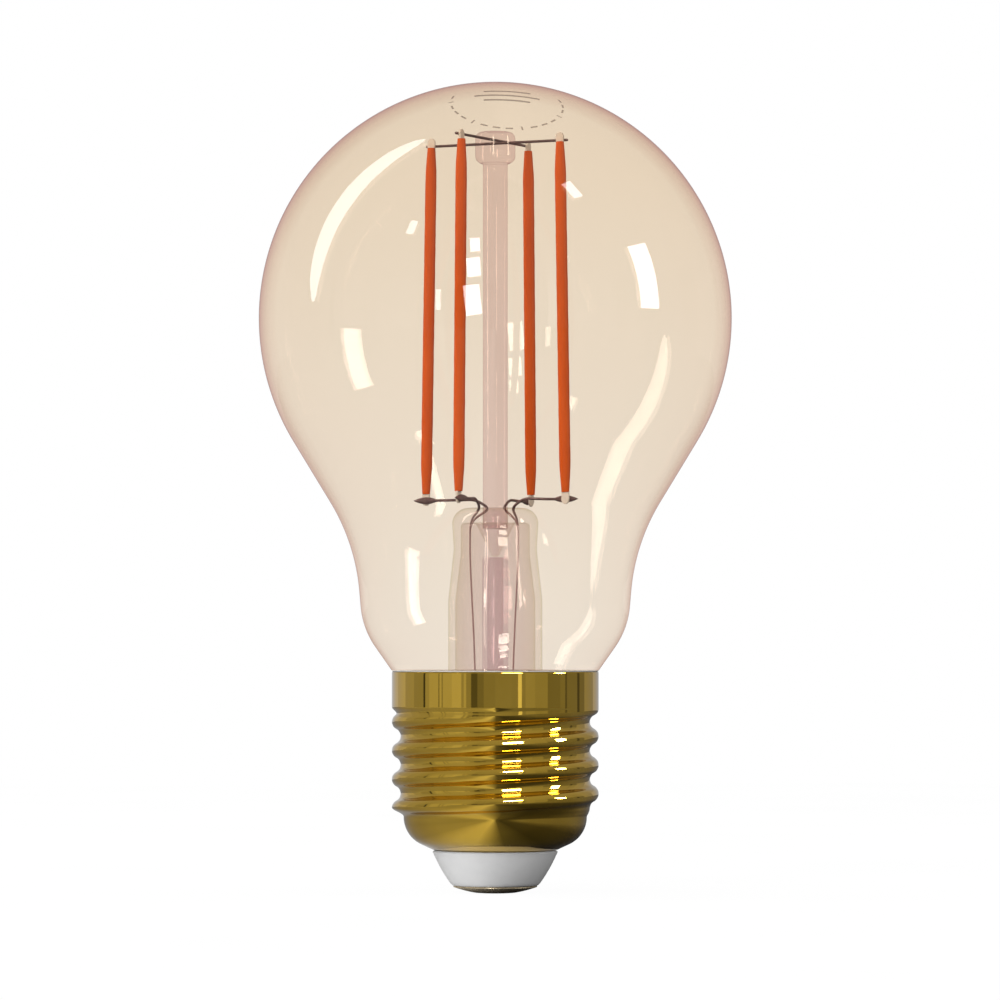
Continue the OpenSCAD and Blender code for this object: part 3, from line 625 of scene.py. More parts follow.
def make_stem():
    """The stem's closed wall: round the rod's socket, down the outside to the flare, and back up the
    hollow to the drop of glass that hangs under the head."""
    outside = (
        [(0, ROD_LOW_Z), (ROD_R + ROD_GAP, ROD_LOW_Z), (ROD_R + ROD_GAP, STEM_TOP)]
        + arc((HEAD_R - HEAD_ROUND, STEM_TOP - HEAD_ROUND), HEAD_ROUND, 90, 0, 14)
        + [(HEAD_R - PINCH, HEAD_LOW_Z), (STEM_R, STEM_WIDE_Z)]
        + arc((FLARE_X, FLARE_Z), FLARE_R, 180, 180 + FLARE_TURN, 20)
    )
    inside = (
        arc((FLARE_X, FLARE_Z), FLARE_R + STEM_WALL, 180 + HOLLOW_TURN, 180, 20)
        + [(STEM_R - STEM_WALL, STEM_WIDE_Z), (HOLLOW_NECK_R, HOLLOW_TOP)]
        + arc((HOLLOW_NECK_R - CROWN_ROUND, CROWN_Z - CROWN_ROUND), CROWN_ROUND, 0, 90, 8)
        + arc((DROP_R + CROWN_ROUND, CROWN_Z - CROWN_ROUND), CROWN_ROUND, 90, 160, 6)
        + arc((0, DROP_TIP_Z), DROP_TIP_R, -20, -90, 6)[:-1]
        + [(0, DROP_TIP_Z - DROP_TIP_R)]
    )
    stem = lathe("glass_stem", outside + inside, stem_clear, steps=128, sharp=40)
    return piece(stem, "stem_glass", "stem_flare")


def make_exhaust_tube():
    """The tube that the bulb is pumped through, with its lower end melted shut."""
    floor_z = EXHAUST_TIP + EXHAUST_R
    top_z = HOLLOW_TOP - TUBE_GAP
    profile = (
        [(0, EXHAUST_TIP)]
        + arc((0, floor_z), EXHAUST_R, -90, 0, 10)[1:]
        + [(EXHAUST_R, top_z - TUBE_EDGE), (EXHAUST_R - TUBE_EDGE, top_z), (EXHAUST_BORE_R, top_z)]
        + arc((0, floor_z + EXHAUST_BORE_R), EXHAUST_BORE_R, 0, -90, 8)[:-1]
        + [(0, floor_z)]
    )
    tube = lathe("exhaust_pipe", profile, tube_clear, steps=96, sharp=40)
    return piece(tube, "stem_glass", "exhaust_tube")


def make_rod():
    """The rod and its bead, which are melted into one piece of glass."""
    fillet = 0.35
    edge = BEAD_R - BEAD_ROUND
    foot_z = ROD_LOW_Z + ROD_GAP
    profile = (
        [(0, foot_z), (ROD_R - ROD_CHAMFER, foot_z), (ROD_R, ROD_LOW_Z + ROD_CHAMFER_H)]
        + arc((ROD_R + fillet, BEAD_LOW_Z - fillet), fillet, 180, 90, 6)
        + arc((edge, BEAD_LOW_Z + BEAD_ROUND), BEAD_ROUND, -90, 0, 12)
        + arc((edge, BEAD_TOP_Z - BEAD_ROUND), BEAD_ROUND, 0, 90, 12)
        + [(0, BEAD_TOP_Z)]
    )
    rod = lathe("glass_rod_and_bead", profile, rod_clear, steps=96, sharp=40)
    return piece(rod, "stem_glass", "stem_rod", "glass_bead")


make_stem()
make_exhaust_tube()
make_rod()


# ---- Filaments ----
COAT_ROUNDING = 0.06
COAT_ROWS = 44
# Unevenness of the coatings: depth, and radians per millimetre along them
COAT_RIPPLES = [(0.008, 2.3), (0.006, 5.1)]
TAB_SINK = 0.02
TAB_ARC_STEPS = 12
TAB_BEVEL = 0.05


def filament_place(n):
    """Where a filament stands: its foot, leaning in by the tilt, with +X away from the axis."""
    return (
        Matrix.Rotation(math.radians(TURNS[n]), 4, "Z")
        @ Matrix.Translation((FOOT_R, 0, COAT_Z))
        @ Matrix.Rotation(-TILT, 4, "Y")
    )


def make_coat(n):
    """The silicone coating: a long spindle with soft shoulders and slightly rounded ends."""
    end_r = COAT_END_R - COAT_ROUNDING
    profile = [(0, 0)] + arc((end_r, COAT_ROUNDING), COAT_ROUNDING, -90, 0, 4)
    for i in range(1, COAT_ROWS):
        z = COAT_L * i / COAT_ROWS
        swell = min(1, min(z, COAT_L - z) / COAT_TAPER)
        ripple = sum(
            depth * math.sin(z * rate + k * n) for k, (depth, rate) in enumerate(COAT_RIPPLES, 1))
        profile.append((COAT_END_R + (COAT_R - COAT_END_R + ripple) * swell, z))
    profile += arc((end_r, COAT_L - COAT_ROUNDING), COAT_ROUNDING, 0, 90, 4) + [(0, COAT_L)]
    bm = lathe_bmesh(profile, steps=32)
    bmesh.ops.transform(bm, matrix=filament_place(n), verts=bm.verts)
    return to_object(f"filament_coat_{n + 1}", bm, phosphor, sharp=50)


def tab_outline(length, foot):
    """A plate that starts at the end of the coating and ends in a half round."""
    half = TAB_W / 2
    points = [(-half, foot), (half, foot), (half, length - half)]
    for i in range(1, TAB_ARC_STEPS):
        a = math.pi * i / TAB_ARC_STEPS
        points.append((half * math.cos(a), length - half + half * math.sin(a)))
    points.append((-half, length - half))
    return points


def make_tabs(n):
    """Both end plates of a filament's carrier, as one piece that stands for the strip."""
    bm = bmesh.new()
    for end in (0, 1):
        length = TOP_TAB_L if end else LOW_TAB_L
        outline = tab_outline(length, -TAB_SINK)
        front = []
        back = []
        for x, z in outline:
            height = COAT_L + z if end else -z
            front.append(bm.verts.new((x, -STRIP_T / 2, height)))
            back.append(bm.verts.new((x, STRIP_T / 2, height)))
        bm.faces.new(front)
        bm.faces.new(back)
        for i in range(len(front)):
            k = (i + 1) % len(front)
            bm.faces.new((front[i], front[k], back[k], back[i]))
    rims = [e for e in bm.edges if abs(e.verts[0].co.y - e.verts[1].co.y) < TINY]
    bmesh.ops.bevel(bm, geom=rims, offset=TAB_BEVEL, segments=2, affect="EDGES")
    bmesh.ops.transform(bm, matrix=filament_place(n), verts=bm.verts)
    return to_object(f"filament_tabs_{n + 1}", bm, tab_metal, sharp=40)


for n in range(4):
    piece(make_coat(n), "phosphor", f"filament_{n + 1}")
    piece(make_tabs(n), "filament_carrier", f"filament_strip_{n + 1}")


# ---- Wires ----
THIN_SHARE = 0.4
THIN_FROM_Z = STEM_TOP - 0.2
THIN_TO_Z = STEM_TOP - 2.2
SIDE_TOP_Z = STEM_TOP - 1.7
SIDE_LOW_Z = HOLLOW_TOP - 0.6
LEAF_ROWS = 24


def low_side(n):
    """Where a lead stands from the cap's edge down, a little nearer the axis."""
    x, y = LEAD_SIDE[n]
    return x - math.copysign(LEAD_LOW_SHIFT, x), y


def lead_route(n):
    """From the filament's tab into the stem's head, down the hollow and to the board."""
    inner_r = FOOT_R + CRIMP_TAIL - CRIMP_L
    entry = Vector((*LEAD_IN[n], STEM_TOP))
    foot = around(TURNS[n], FOOT_R, 0, STEM_TOP)
    bend = entry + LEAD_BEND_SHARE * (foot - entry)
    bend.z = LEAD_Z + LEAD_LIFT
    return [
        around(TURNS[n], inner_r + CRIMP_L / 2, WIRE_SIDE, LEAD_Z),
        around(TURNS[n], inner_r - LEAD_NECK, WIRE_SIDE, LEAD_Z),
        bend,
        entry,
        Vector((*LEAD_SIDE[n], SIDE_TOP_Z)),
        Vector((*LEAD_SIDE[n], SIDE_LOW_Z)),
        Vector((*low_side(n), CAP_TOP)),
        Vector((*low_side(n), BOARD_Z)),
    ]


def make_lead(n):
    """A lead wire with its flattened, pointed end welded to the filament's tab. Inside the stem it
    is drawn thinner and in the paler sealing metal."""
    bm = bmesh.new()
    path = rounded_route(lead_route(n))

    def wire_size(i, last):
        radius = WIRE_D / 2 * (1 - THIN_SHARE * smoothstep(THIN_FROM_Z, THIN_TO_Z, path[i].z))
        return radius, radius

    sweep(bm, path, wire_size, 14)
    outer_r = FOOT_R + CRIMP_TAIL
    leaf = [
        around(TURNS[n], outer_r - CRIMP_L * i / LEAF_ROWS, WIRE_SIDE, LEAD_Z)
        for i in range(LEAF_ROWS + 1)
    ]

    def leaf_size(i, last):
        swell = math.sin(math.pi * i / last) ** CRIMP_POWER if 0 < i < last else CRIMP_EDGE
        share = CRIMP_END_SHARE + (1 - CRIMP_END_SHARE) * swell
        return CRIMP_T / 2 * share, max(CRIMP_EDGE, CRIMP_H / 2 * swell)

    sweep(bm, leaf, leaf_size, 16)
    lead = to_object(f"lead_{n + 1}", bm, wire_metal, sharp=60)
    lead.data.materials.append(sealed_wire)
    for polygon in lead.data.polygons:
        polygon.material_index = int(polygon.center.z < (STEM_TOP - SEAL_DEPTH) * MM)
    return lead


for n in range(4):
    piece(make_lead(n), "support_wire", f"lead_wire_{n + 1}")

for letter, turn in (("a", FIRST_TURN), ("b", FIRST_TURN + 90)):
    node = f"top_wire_{letter}"
    z = (low(node).z + high(node).z) / 2
    reach = TIP_R + WIRE_TAIL
    route = [around(turn, r, WIRE_SIDE, z) for r in (-reach, -reach / 2, 0, reach / 2, reach)]
    piece(wire(f"top_support_{letter}", route, WIRE_D, wire_metal), "support_wire", node)


# ---- Screw cap ----
KNUCKLE_R = ((THREAD_PITCH / 4) ** 2 + (THREAD_DEPTH / 2) ** 2) / THREAD_DEPTH
THREAD_ROWS = 200
RIPPLE_PITCH = 0.62
RIPPLE_DEPTH = 0.008
# How the ripples wander round the cap: depth in radians, and waves per turn
RIPPLE_WANDER = [(1.5, 3), (0.7, 7)]
SKIRT_STEP = 0.1
SHEET_RISE = 0.4
CAP_STEPS = 288
BOWL_LIP = 0.1
BOWL_LIP_RISE = 0.02
BOWL_C = (BOWL_SIDE_R - BOWL_R, BOWL_TOP)
BOWL_TANGENT = Vector(arc(BOWL_C, BOWL_R, 0, BOWL_SLOPE - 90, 1)[-1])
BOWL_RISE = math.tan(math.radians(BOWL_SLOPE))
BOWL_LOW_Z = BOWL_TANGENT.y - (BOWL_TANGENT.x - BOWL_HOLE_R) * BOWL_RISE
BOWL_WALL_Z = CAP_WALL / math.cos(math.radians(BOWL_SLOPE))


def knuckle(away):
    """Depth below the crests at a distance along the axis from a crest."""
    if away < THREAD_PITCH / 4:
        return KNUCKLE_R - math.sqrt(KNUCKLE_R ** 2 - away ** 2)
    return THREAD_DEPTH - KNUCKLE_R + math.sqrt(KNUCKLE_R ** 2 - (THREAD_PITCH / 2 - away) ** 2)


def thread_radius(turn, z):
    """Radius of the cap's outer face: skirt, thread and the top of the rounded bottom. Fine
    ripples along the thread come from its rolling."""
    if z >= SKIRT_Z:
        return CAP_R
    if z <= BOWL_TOP:
        return BOWL_SIDE_R
    rise = (z - CREST_Z - THREAD_PITCH * turn / 360) / THREAD_PITCH
    away = abs(rise - round(rise)) * THREAD_PITCH
    top_part = smoothstep(SKIRT_Z - FADE_H, SKIRT_Z, z)
    low_part = 1 - smoothstep(BOWL_TOP, BOWL_TOP + FADE_H, z)
    a = math.radians(turn)
    wander = sum(depth * math.sin(waves * a) for depth, waves in RIPPLE_WANDER)
    wave = math.sin(2 * math.pi * z / RIPPLE_PITCH + wander)
    free = CAP_R - knuckle(away) - RIPPLE_DEPTH * (1 + wave)
    top = free + (CAP_R - free) * top_part
    return top + (BOWL_SIDE_R - top) * low_part


def make_cap():
    """The threaded shell as one sheet, with a rolled top edge and a bowl that grips the insulator.
    Each row of the profile has a radius, or None on the thread, a height and a depth under it."""
    half = CAP_WALL / 2
    edge = arc((CAP_R - half, CAP_TOP - half), half, 90, 0, 4)
    edge += [(CAP_R, CAP_TOP - half - SKIRT_STEP), (CAP_R, CAP_TOP - SKIRT_H / 2)]
    edge += [(CAP_R, SKIRT_Z + SKIRT_STEP)]
    sheet = [
        (None, SKIRT_Z - (SKIRT_Z - BOWL_TOP) * i / THREAD_ROWS) for i in range(THREAD_ROWS + 1)]
    bowl = arc(BOWL_C, BOWL_R, 0, BOWL_SLOPE - 90, 20)[1:]
    bowl += [(BOWL_HOLE_R + BOWL_LIP, BOWL_LOW_Z + BOWL_LIP_RISE)]
    bowl += [(BOWL_HOLE_R, BOWL_LOW_Z + BOWL_LIP)]
    bowl += [(BOWL_HOLE_R, BOWL_LOW_Z + BOWL_WALL_Z)]
    bowl += arc(BOWL_C, BOWL_R - CAP_WALL, BOWL_SLOPE - 90, 0, 16)
    inner_skirt = [(CAP_R - CAP_WALL, SKIRT_Z + SHEET_RISE), (CAP_R - CAP_WALL, CAP_TOP - half)]
    profile = [(*p, 0) for p in edge + sheet + bowl]
    profile += [(*p, CAP_WALL) for p in sheet[::-1]]
    profile += [(*p, 0) for p in inner_skirt]
    bm = bmesh.new()
    rows = []
    for radius, z, depth in profile:
        row = []
        for j in range(CAP_STEPS):
            turn = 360 * j / CAP_STEPS
            r = thread_radius(turn, z) if radius is None else radius
            row.append(bm.verts.new(around(turn, r - depth, 0, z)))
        rows.append(row)
    for upper, lower in zip(rows, rows[1:] + rows[:1]):
        for j in range(CAP_STEPS):
            k = (j + 1) % CAP_STEPS
            bm.faces.new((upper[j], lower[j], lower[k], upper[k]))
    cap = to_object("screw_cap", bm, brass, sharp=50)
    return piece(cap, "cap_metal", "cap_shell")


# Small gaps and chamfers of the pieces at the bottom and in the cap
SEAM = 0.08
FLANGE_INSET = 0.3
PLUG_GAP = 0.02
GRIP_GAP = 0.05
PIN_CHAMFER = 0.1
CEMENT_GAP = 0.01
STEP_GAP = 0.06
CEMENT_STEP = 0.7
FLAT_EDGE = 0.2
# Soft edges, each point as a step outward and a step up from the corner that it rounds
CONE_LOW_EDGE = [(-0.12, 0), (-0.02, 0.06)]
CONE_TOP_EDGE = [(-0.02, -0.08), (-0.1, 0)]
CEMENT_LIP = [(-0.06, 0.01), (0, 0.07)]
CEMENT_LIP_IN = 0.04


def soft_edge(corner, edge):
    return [(corner[0] + out, corner[1] + up) for out, up in edge]


def make_insulator():
    """The white cone under the cap, with soft edges, and the plug that the cap's edge grips."""
    cone_top_z = BOWL_LOW_Z - SEAM
    chord = Vector((CONE_TOP_R - CONE_LOW_R, cone_top_z - CONE_LOW_Z))
    across = Vector((chord.y, -chord.x)).normalized()
    middle = Vector((CONE_LOW_R, CONE_LOW_Z)) + chord / 2
    centre = middle - math.sqrt(CONE_CURVE_R ** 2 - (chord.length / 2) ** 2) * across
    start = math.degrees(math.atan2(CONE_LOW_Z - centre.y, CONE_LOW_R - centre.x))
    end = math.degrees(math.atan2(cone_top_z - centre.y, CONE_TOP_R - centre.x))
    cone = arc(centre, CONE_CURVE_R, start, end, 16)
    plug_r = BOWL_HOLE_R - PLUG_GAP
    flange_r = BOWL_TANGENT.x - FLANGE_INSET
    grip_z = BOWL_LOW_Z + BOWL_WALL_Z + GRIP_GAP
    flange_z = grip_z + (flange_r - BOWL_HOLE_R) * BOWL_RISE
    profile = (
        [(PIN_R, CONE_LOW_Z)]
        + soft_edge((cone[0][0], CONE_LOW_Z), CONE_LOW_EDGE)
        + cone[1:-1]
        + soft_edge((cone[-1][0], cone_top_z), CONE_TOP_EDGE)
        + [(plug_r, cone_top_z), (plug_r, grip_z)]
        + [(flange_r, flange_z), (flange_r, FLOOR_Z), (PIN_R, FLOOR_Z)]
    )
    cone_piece = lathe("insulator_cone", profile, white_insulator, steps=128, sharp=35)
    return piece(cone_piece, "insulator_plastic", "cap_insulator")


def make_contact():
    """The domed contact plate and its pin."""
    rise = (CONTACT_R ** 2 - CONTACT_FLAT_R ** 2 + CONTACT_RISE ** 2) / (2 * CONTACT_RISE)
    dome_r = math.hypot(rise, CONTACT_FLAT_R)
    start = math.degrees(math.atan2(-rise, CONTACT_FLAT_R))
    end = math.degrees(math.atan2(CONTACT_RISE - rise, CONTACT_R))
    dome = arc((0, rise), dome_r, start, end, 14)
    pin_top = high("centre_contact").z
    profile = (
        [(0, 0), (CONTACT_FLAT_R - FLAT_EDGE, 0)] + dome[1:]
        + [(CONTACT_R, CONE_LOW_Z - SEAM), (CONTACT_R - SEAM, CONE_LOW_Z), (PIN_R, CONE_LOW_Z)]
        + [(PIN_R, pin_top - PIN_CHAMFER), (PIN_R - PIN_CHAMFER, pin_top), (0, pin_top)]
    )
    contact = lathe("contact_plate", profile, contact_brass, steps=128, sharp=30)
    return piece(contact, "contact_metal", "centre_contact")


def make_cement():
    """The ring of cement between the cap and the glass, with a thin lip that shows at the top."""
    step_r = ROOT_R - CAP_WALL - STEP_GAP
    step_z = SKIRT_Z + CEMENT_STEP
    skirt_r = CAP_R - CAP_WALL - CEMENT_GAP
    glass_r = NECK_R + CEMENT_GAP
    lip_z = SEAT_Z - CEMENT_GAP
    profile = [
        (glass_r, NECK_LOW_Z), (step_r, NECK_LOW_Z), (step_r, step_z), (skirt_r, step_z),
        (skirt_r, CAP_TOP), *soft_edge((CAP_R, CAP_TOP), CEMENT_LIP),
        (CAP_R - CEMENT_LIP_IN, lip_z), (glass_r, lip_z),
    ]
    cement = lathe("cement_ring", profile, cement_grain, steps=160, sharp=40)
    return piece(cement, "cement", "basing_cement")


make_cap()
make_insulator()
make_contact()
make_cement()


# ---- Print on the globe: a plain ring of dashes round three bars ----
STAMP_C = Vector((1.5, 8.1))
STAMP_R = 7.2
INK_LIFT = 0.012
DASHES = 17
DASH_FROM = -20
DASH_SWEEP = 215
DASH_HALF = 0.5
TICK_HALF = 0.35
TICK_EVERY = 4
TICK_W = 0.22
DASH_W = 0.26
BAR_W = 0.5
BAR_DROP = 1.2
# Each bar's height in the ring and its half length
BARS = [(-1.6, 3.0), (0.0, 4.2), (1.6, 3.0)]


def on_globe(p):
    """Point of the globe's outer face above a point of the top view, just proud of the glass."""
    r = GLOBE_R + INK_LIFT
    return Vector((p.x, p.y, globe_c.y + math.sqrt(r * r - p.x * p.x - p.y * p.y)))


def ink_stroke(bm, a, b, width, steps=6):
    """A stroke of ink between two points of the top view."""
    way = (b - a).normalized() * width / 2
    across = Vector((-way.y, way.x))
    rows = []
    for i in range(steps + 1):
        p = a.lerp(b, i / steps)
        rows.append([bm.verts.new(on_globe(p + across)), bm.verts.new(on_globe(p - across))])
    for first, second in zip(rows, rows[1:]):
        bm.faces.new((first[0], first[1], second[1], second[0]))


def make_print():
    """Three bars inside a ring of dashes, every fourth of which is a short tick across the ring."""
    bm = bmesh.new()
    for i in range(DASHES):
        a = math.radians(DASH_FROM + DASH_SWEEP * i / (DASHES - 1))
        out = Vector((math.cos(a), math.sin(a)))
        middle = STAMP_C + out * STAMP_R
        if i % TICK_EVERY == TICK_EVERY - 1:
            ink_stroke(bm, middle - out * TICK_HALF, middle + out * TICK_HALF, TICK_W)
        else:
            half = Vector((-out.y, out.x)) * DASH_HALF
            ink_stroke(bm, middle - half, middle + half, DASH_W)
    for height, half in BARS:
        middle = STAMP_C + Vector((0, height - BAR_DROP))
        ink_stroke(bm, middle - Vector((half, 0)), middle + Vector((half, 0)), BAR_W, 12)
    ink = to_object("generic_print", bm, print_ink)
    return piece(ink, "amber_glass")


make_print()


# ---- Driver in the cap: CAD shapes with finished materials ----
def board_material(name):
    """Green solder mask over copper tracks, with tin pads."""
    material, tree_nodes, links = new_material(name)
    shader = tree_nodes.new("ShaderNodeBsdfPrincipled")
    output = tree_nodes.new("ShaderNodeOutputMaterial")
    coords = tree_nodes.new("ShaderNodeTexCoord")
    tracks = tree_nodes.new("ShaderNodeTexBrick")
    tracks.inputs["Scale"].default_value = 0.28 / MM
    tracks.inputs["Mortar Size"].default_value = 0.03
    tracks.inputs["Color1"].default_value = (0.010, 0.105, 0.030, 1)
    tracks.inputs["Color2"].default_value = (0.013, 0.125, 0.036, 1)
    tracks.inputs["Mortar"].default_value = (0.03, 0.20, 0.055, 1)
    links.new(coords.outputs["Object"], tracks.inputs["Vector"])
    links.new(tracks.outputs["Color"], shader.inputs["Base Color"])
    wear = noise(tree_nodes, links, 2, 5)
    links.new(ramp(tree_nodes, links, wear, [(0.3, 0.3), (0.7, 0.5)]), shader.inputs["Roughness"])
    links.new(bump(tree_nodes, links, tracks.outputs["Fac"], 0.5, 0.03), shader.inputs["Normal"])
    links.new(shader.outputs["BSDF"], output.inputs["Surface"])
    return material


board_green = board_material("board_green")
black_plastic = surface(
    "housing_black", [(0.018, 0.018, 0.020), (0.030, 0.030, 0.032)], [0.35, 0.6], grain=1,
    bump_depth=0.02, bump_scale=2.5,
)
chip_black = surface(
    "chip_black_epoxy", [(0.012, 0.012, 0.013), (0.024, 0.024, 0.026)], [0.45, 0.7], grain=4,
    bump_depth=0.01, bump_scale=8,
)
aluminium = surface(
    "can_brushed", [(0.62, 0.63, 0.65), (0.74, 0.75, 0.77)], [0.2, 0.4], metallic=1.0, grain=1,
    grain_stretch=(1, 1, 6), bump_depth=0.006,
)
tin = surface("tin_plate", [(0.60, 0.60, 0.61), (0.75, 0.75, 0.76)], [0.25, 0.5], 1.0, grain=1.5)
ferrite = surface(
    "ferrite_grey", [(0.04, 0.04, 0.042), (0.075, 0.075, 0.078)], [0.55, 0.8], grain=5,
    bump_depth=0.02,
)
copper = surface(
    "copper_enamel", [(0.50, 0.17, 0.06), (0.68, 0.27, 0.10)], [0.2, 0.38], metallic=1.0, grain=1,
    grain_stretch=(0.3, 0.3, 6), bump_depth=0.05, bump_scale=1.2,
)
fuse_body = surface(
    "fuse_green_lacquer", [(0.22, 0.42, 0.32), (0.28, 0.50, 0.38)], [0.25, 0.4], grain=1)
ceramic = surface(
    "part_ceramic_beige", [(0.42, 0.33, 0.20), (0.54, 0.44, 0.29)], [0.4, 0.6], grain=4)
red_jacket = surface(
    "wire_red_pvc", [(0.42, 0.020, 0.014), (0.52, 0.030, 0.020)], [0.3, 0.45], grain=1)
blue_jacket = surface(
    "wire_blue_pvc", [(0.012, 0.055, 0.34), (0.020, 0.075, 0.42)], [0.3, 0.45], grain=1)
solder_tin = surface(
    "solder_dull", [(0.50, 0.50, 0.52), (0.70, 0.70, 0.72)], [0.2, 0.5], metallic=1.0, grain=3,
    bump_depth=0.02,
)

DRIVER_FINISH = {
    "driver_housing": black_plastic,
    "driver_board": board_green,
    "bulk_capacitor": aluminium,
    "capacitor_base": chip_black,
    "choke_core": ferrite,
    "choke_winding": copper,
    "bridge_rectifier": chip_black,
    "fuse_resistor": fuse_body,
    "driver_chip": chip_black,
    "board_parts": ceramic,
    "radio_board": board_green,
    "radio_chip": chip_black,
    "radio_shield": tin,
    "antenna_trace": copper,
    "live_wire": red_jacket,
    "neutral_wire": blue_jacket,
    "solder_joints": solder_tin,
    "led_chips": die_crystal,
}
for node, finish in DRIVER_FINISH.items():
    nodes[node].data.materials.clear()
    nodes[node].data.materials.append(finish)


# ---- Studio: pale floor, soft lights and a white backdrop ----
FLOOR_HALF = 0.5
FLOOR_GLOW = 0.972
SHADE_SPAN = 0.08
# Painted shade: how light the floor is in reflections, over SHADE_SPAN from left to right with the
# lamp in the middle, lighter to the left and darker to the right. The camera itself sees plain pale
# paper.
FLOOR_SHADE = [
    (0.0, 0.26), (0.30, 0.32), (0.40, 0.54), (0.455, 0.58), (0.52, 0.10), (0.60, 0.045),
    (0.75, 0.06), (1.0, 0.16),
]


def make_floor():
    """A small square of floor, so that the cap mirrors the walls of the studio beyond it."""
    corners = [(-1, -1), (1, -1), (1, 1), (-1, 1)]
    mesh = bpy.data.meshes.new("floor")
    mesh.from_pydata([(x * FLOOR_HALF, y * FLOOR_HALF, 0) for x, y in corners], [], [(0, 1, 2, 3)])
    floor = bpy.data.objects.new("floor", mesh)
    scene.collection.objects.link(floor)
    material, tree_nodes, links = new_material("floor_paper")
    output = tree_nodes.new("ShaderNodeOutputMaterial")
    seen = tree_nodes.new("ShaderNodeBsdfDiffuse")
    grain = noise(tree_nodes, links, 0.02, 4)
    links.new(ramp(tree_nodes, links, grain, [(0.3, 0.025), (0.7, 0.035)]), seen.inputs["Color"])
    glow = tree_nodes.new("ShaderNodeEmission")
    glow.inputs["Strength"].default_value = FLOOR_GLOW
    lit = tree_nodes.new("ShaderNodeAddShader")
    links.new(seen.outputs[0], lit.inputs[0])
    links.new(glow.outputs[0], lit.inputs[1])
    # Painted shade: in reflections the floor's colour follows FLOOR_SHADE across X, lighter to the
    # left and darker to the right.
    bounce = tree_nodes.new("ShaderNodeBsdfDiffuse")
    x = position(tree_nodes, links)["X"]
    across = math_node(tree_nodes, links, "MULTIPLY_ADD", x, 1 / SHADE_SPAN, 0.5)
    links.new(ramp(tree_nodes, links, across, FLOOR_SHADE), bounce.inputs["Color"])
    path = tree_nodes.new("ShaderNodeLightPath")
    mix = tree_nodes.new("ShaderNodeMixShader")
    links.new(path.outputs["Is Camera Ray"], mix.inputs["Fac"])
    links.new(bounce.outputs[0], mix.inputs[1])
    links.new(lit.outputs[0], mix.inputs[2])
    links.new(mix.outputs[0], output.inputs["Surface"])
    mesh.materials.append(material)


# Walls of the studio: bearing in degrees from the camera's side, anticlockwise from above, and the
# brightness from there to the next bearing. The narrow ones are frames and gaps of its windows.
STUDIO_WALLS = [
    (-180, 0.58), (-140, 0.48), (-120, 0.34), (-104, 0.27), (-88.5, 0.05), (-85.5, 0.33),
    (-80, 0.42), (-67, 0.18), (-65, 0.44), (-62.5, 0.22), (-60.5, 0.42), (-50, 0.48), (-38, 0.30),
    (-36, 0.42), (-33, 0.26), (-27, 0.09), (-20, 0.17), (-13.5, 0.23), (0, 0.25), (17.5, 0.24),
    (25, 0.75), (29.5, 0.25), (33, 0.31), (44, 0.28), (60, 0.17), (76, 0.20), (84, 0.10),
    (86, 0.18), (104, 0.07), (108, 0.17), (118, 0.30), (140, 0.46),
]
# How far the walls give way to the ceiling, from straight down to straight up
CEILING_FADE = [(0.0, 0.0), (0.62, 0.0), (0.64, 0.6), (0.9, 1.0)]
CEILING = (0.34, 0.335, 0.33, 1)
WHITE = (1, 1, 1, 1)


def make_world():
    """White behind the lamp for the camera; a darker room with banded walls for reflections."""
    world = bpy.data.worlds.new("studio")
    scene.world = world
    world.use_nodes = True
    tree_nodes = world.node_tree.nodes
    links = world.node_tree.links
    tree_nodes.clear()
    output = tree_nodes.new("ShaderNodeOutputWorld")
    way = position(tree_nodes, links, "Generated")
    back = math_node(tree_nodes, links, "MULTIPLY", way["Y"], -1)
    turn = math_node(tree_nodes, links, "ARCTAN2", way["X"], back)
    turn = math_node(tree_nodes, links, "MULTIPLY_ADD", turn, 0.5 / math.pi, 0.5)
    bands = [(bearing / 360 + 0.5, grey) for bearing, grey in STUDIO_WALLS]
    walls = ramp(tree_nodes, links, turn, bands, "CONSTANT")
    height = math_node(tree_nodes, links, "MULTIPLY_ADD", way["Z"], 0.5, 0.5)
    ceiling = ramp(tree_nodes, links, height, CEILING_FADE)
    room = mix_colours(tree_nodes, links, ceiling, walls, CEILING)
    path = tree_nodes.new("ShaderNodeLightPath")
    seen = mix_colours(tree_nodes, links, path.outputs["Is Camera Ray"], room, WHITE)
    background = tree_nodes.new("ShaderNodeBackground")
    links.new(seen, background.inputs["Color"])
    links.new(background.outputs[0], output.inputs["Surface"])


AIM_Z = 0.07


def area_light(name, shape, width, tall, brightness):
    """An area light that the camera doesn't see; brightness is its radiance."""
    light = bpy.data.lights.new(name, "AREA")
    light.shape = shape
    light.size = width
    light.size_y = tall
    light.energy = brightness * math.pi * width * tall
    obj = bpy.data.objects.new(name, light)
    scene.collection.objects.link(obj)
    obj.visible_camera = False
    return obj


def panel(name, direction, distance, width, tall, brightness, roll=0.0, height=AIM_Z):
    """A rectangular soft light that faces the lamp's axis at a height."""
    obj = area_light(name, "RECTANGLE", width, tall, brightness)
    way = Vector(direction).normalized()
    facing = (-way).to_track_quat("-Z", "Y").to_matrix().to_4x4()
    place = Matrix.Translation(Vector((0, 0, height)) + way * distance)
    obj.matrix_world = place @ facing @ Matrix.Rotation(roll, 4, "Z")
    return obj


def bar(name, start, end, width, brightness):
    """A long strip light between two points, facing the lamp, which narrows to its ends."""
    obj = area_light(name, "ELLIPSE", (end - start).length, width, brightness)
    middle = (start + end) / 2
    z_axis = (middle - Vector((0, 0, AIM_Z))).normalized()
    x_axis = (end - start).normalized()
    x_axis = (x_axis - x_axis.dot(z_axis) * z_axis).normalized()
    turn = Matrix((x_axis, z_axis.cross(x_axis), z_axis)).transposed().to_4x4()
    obj.matrix_world = Matrix.Translation(middle) @ turn
    return obj


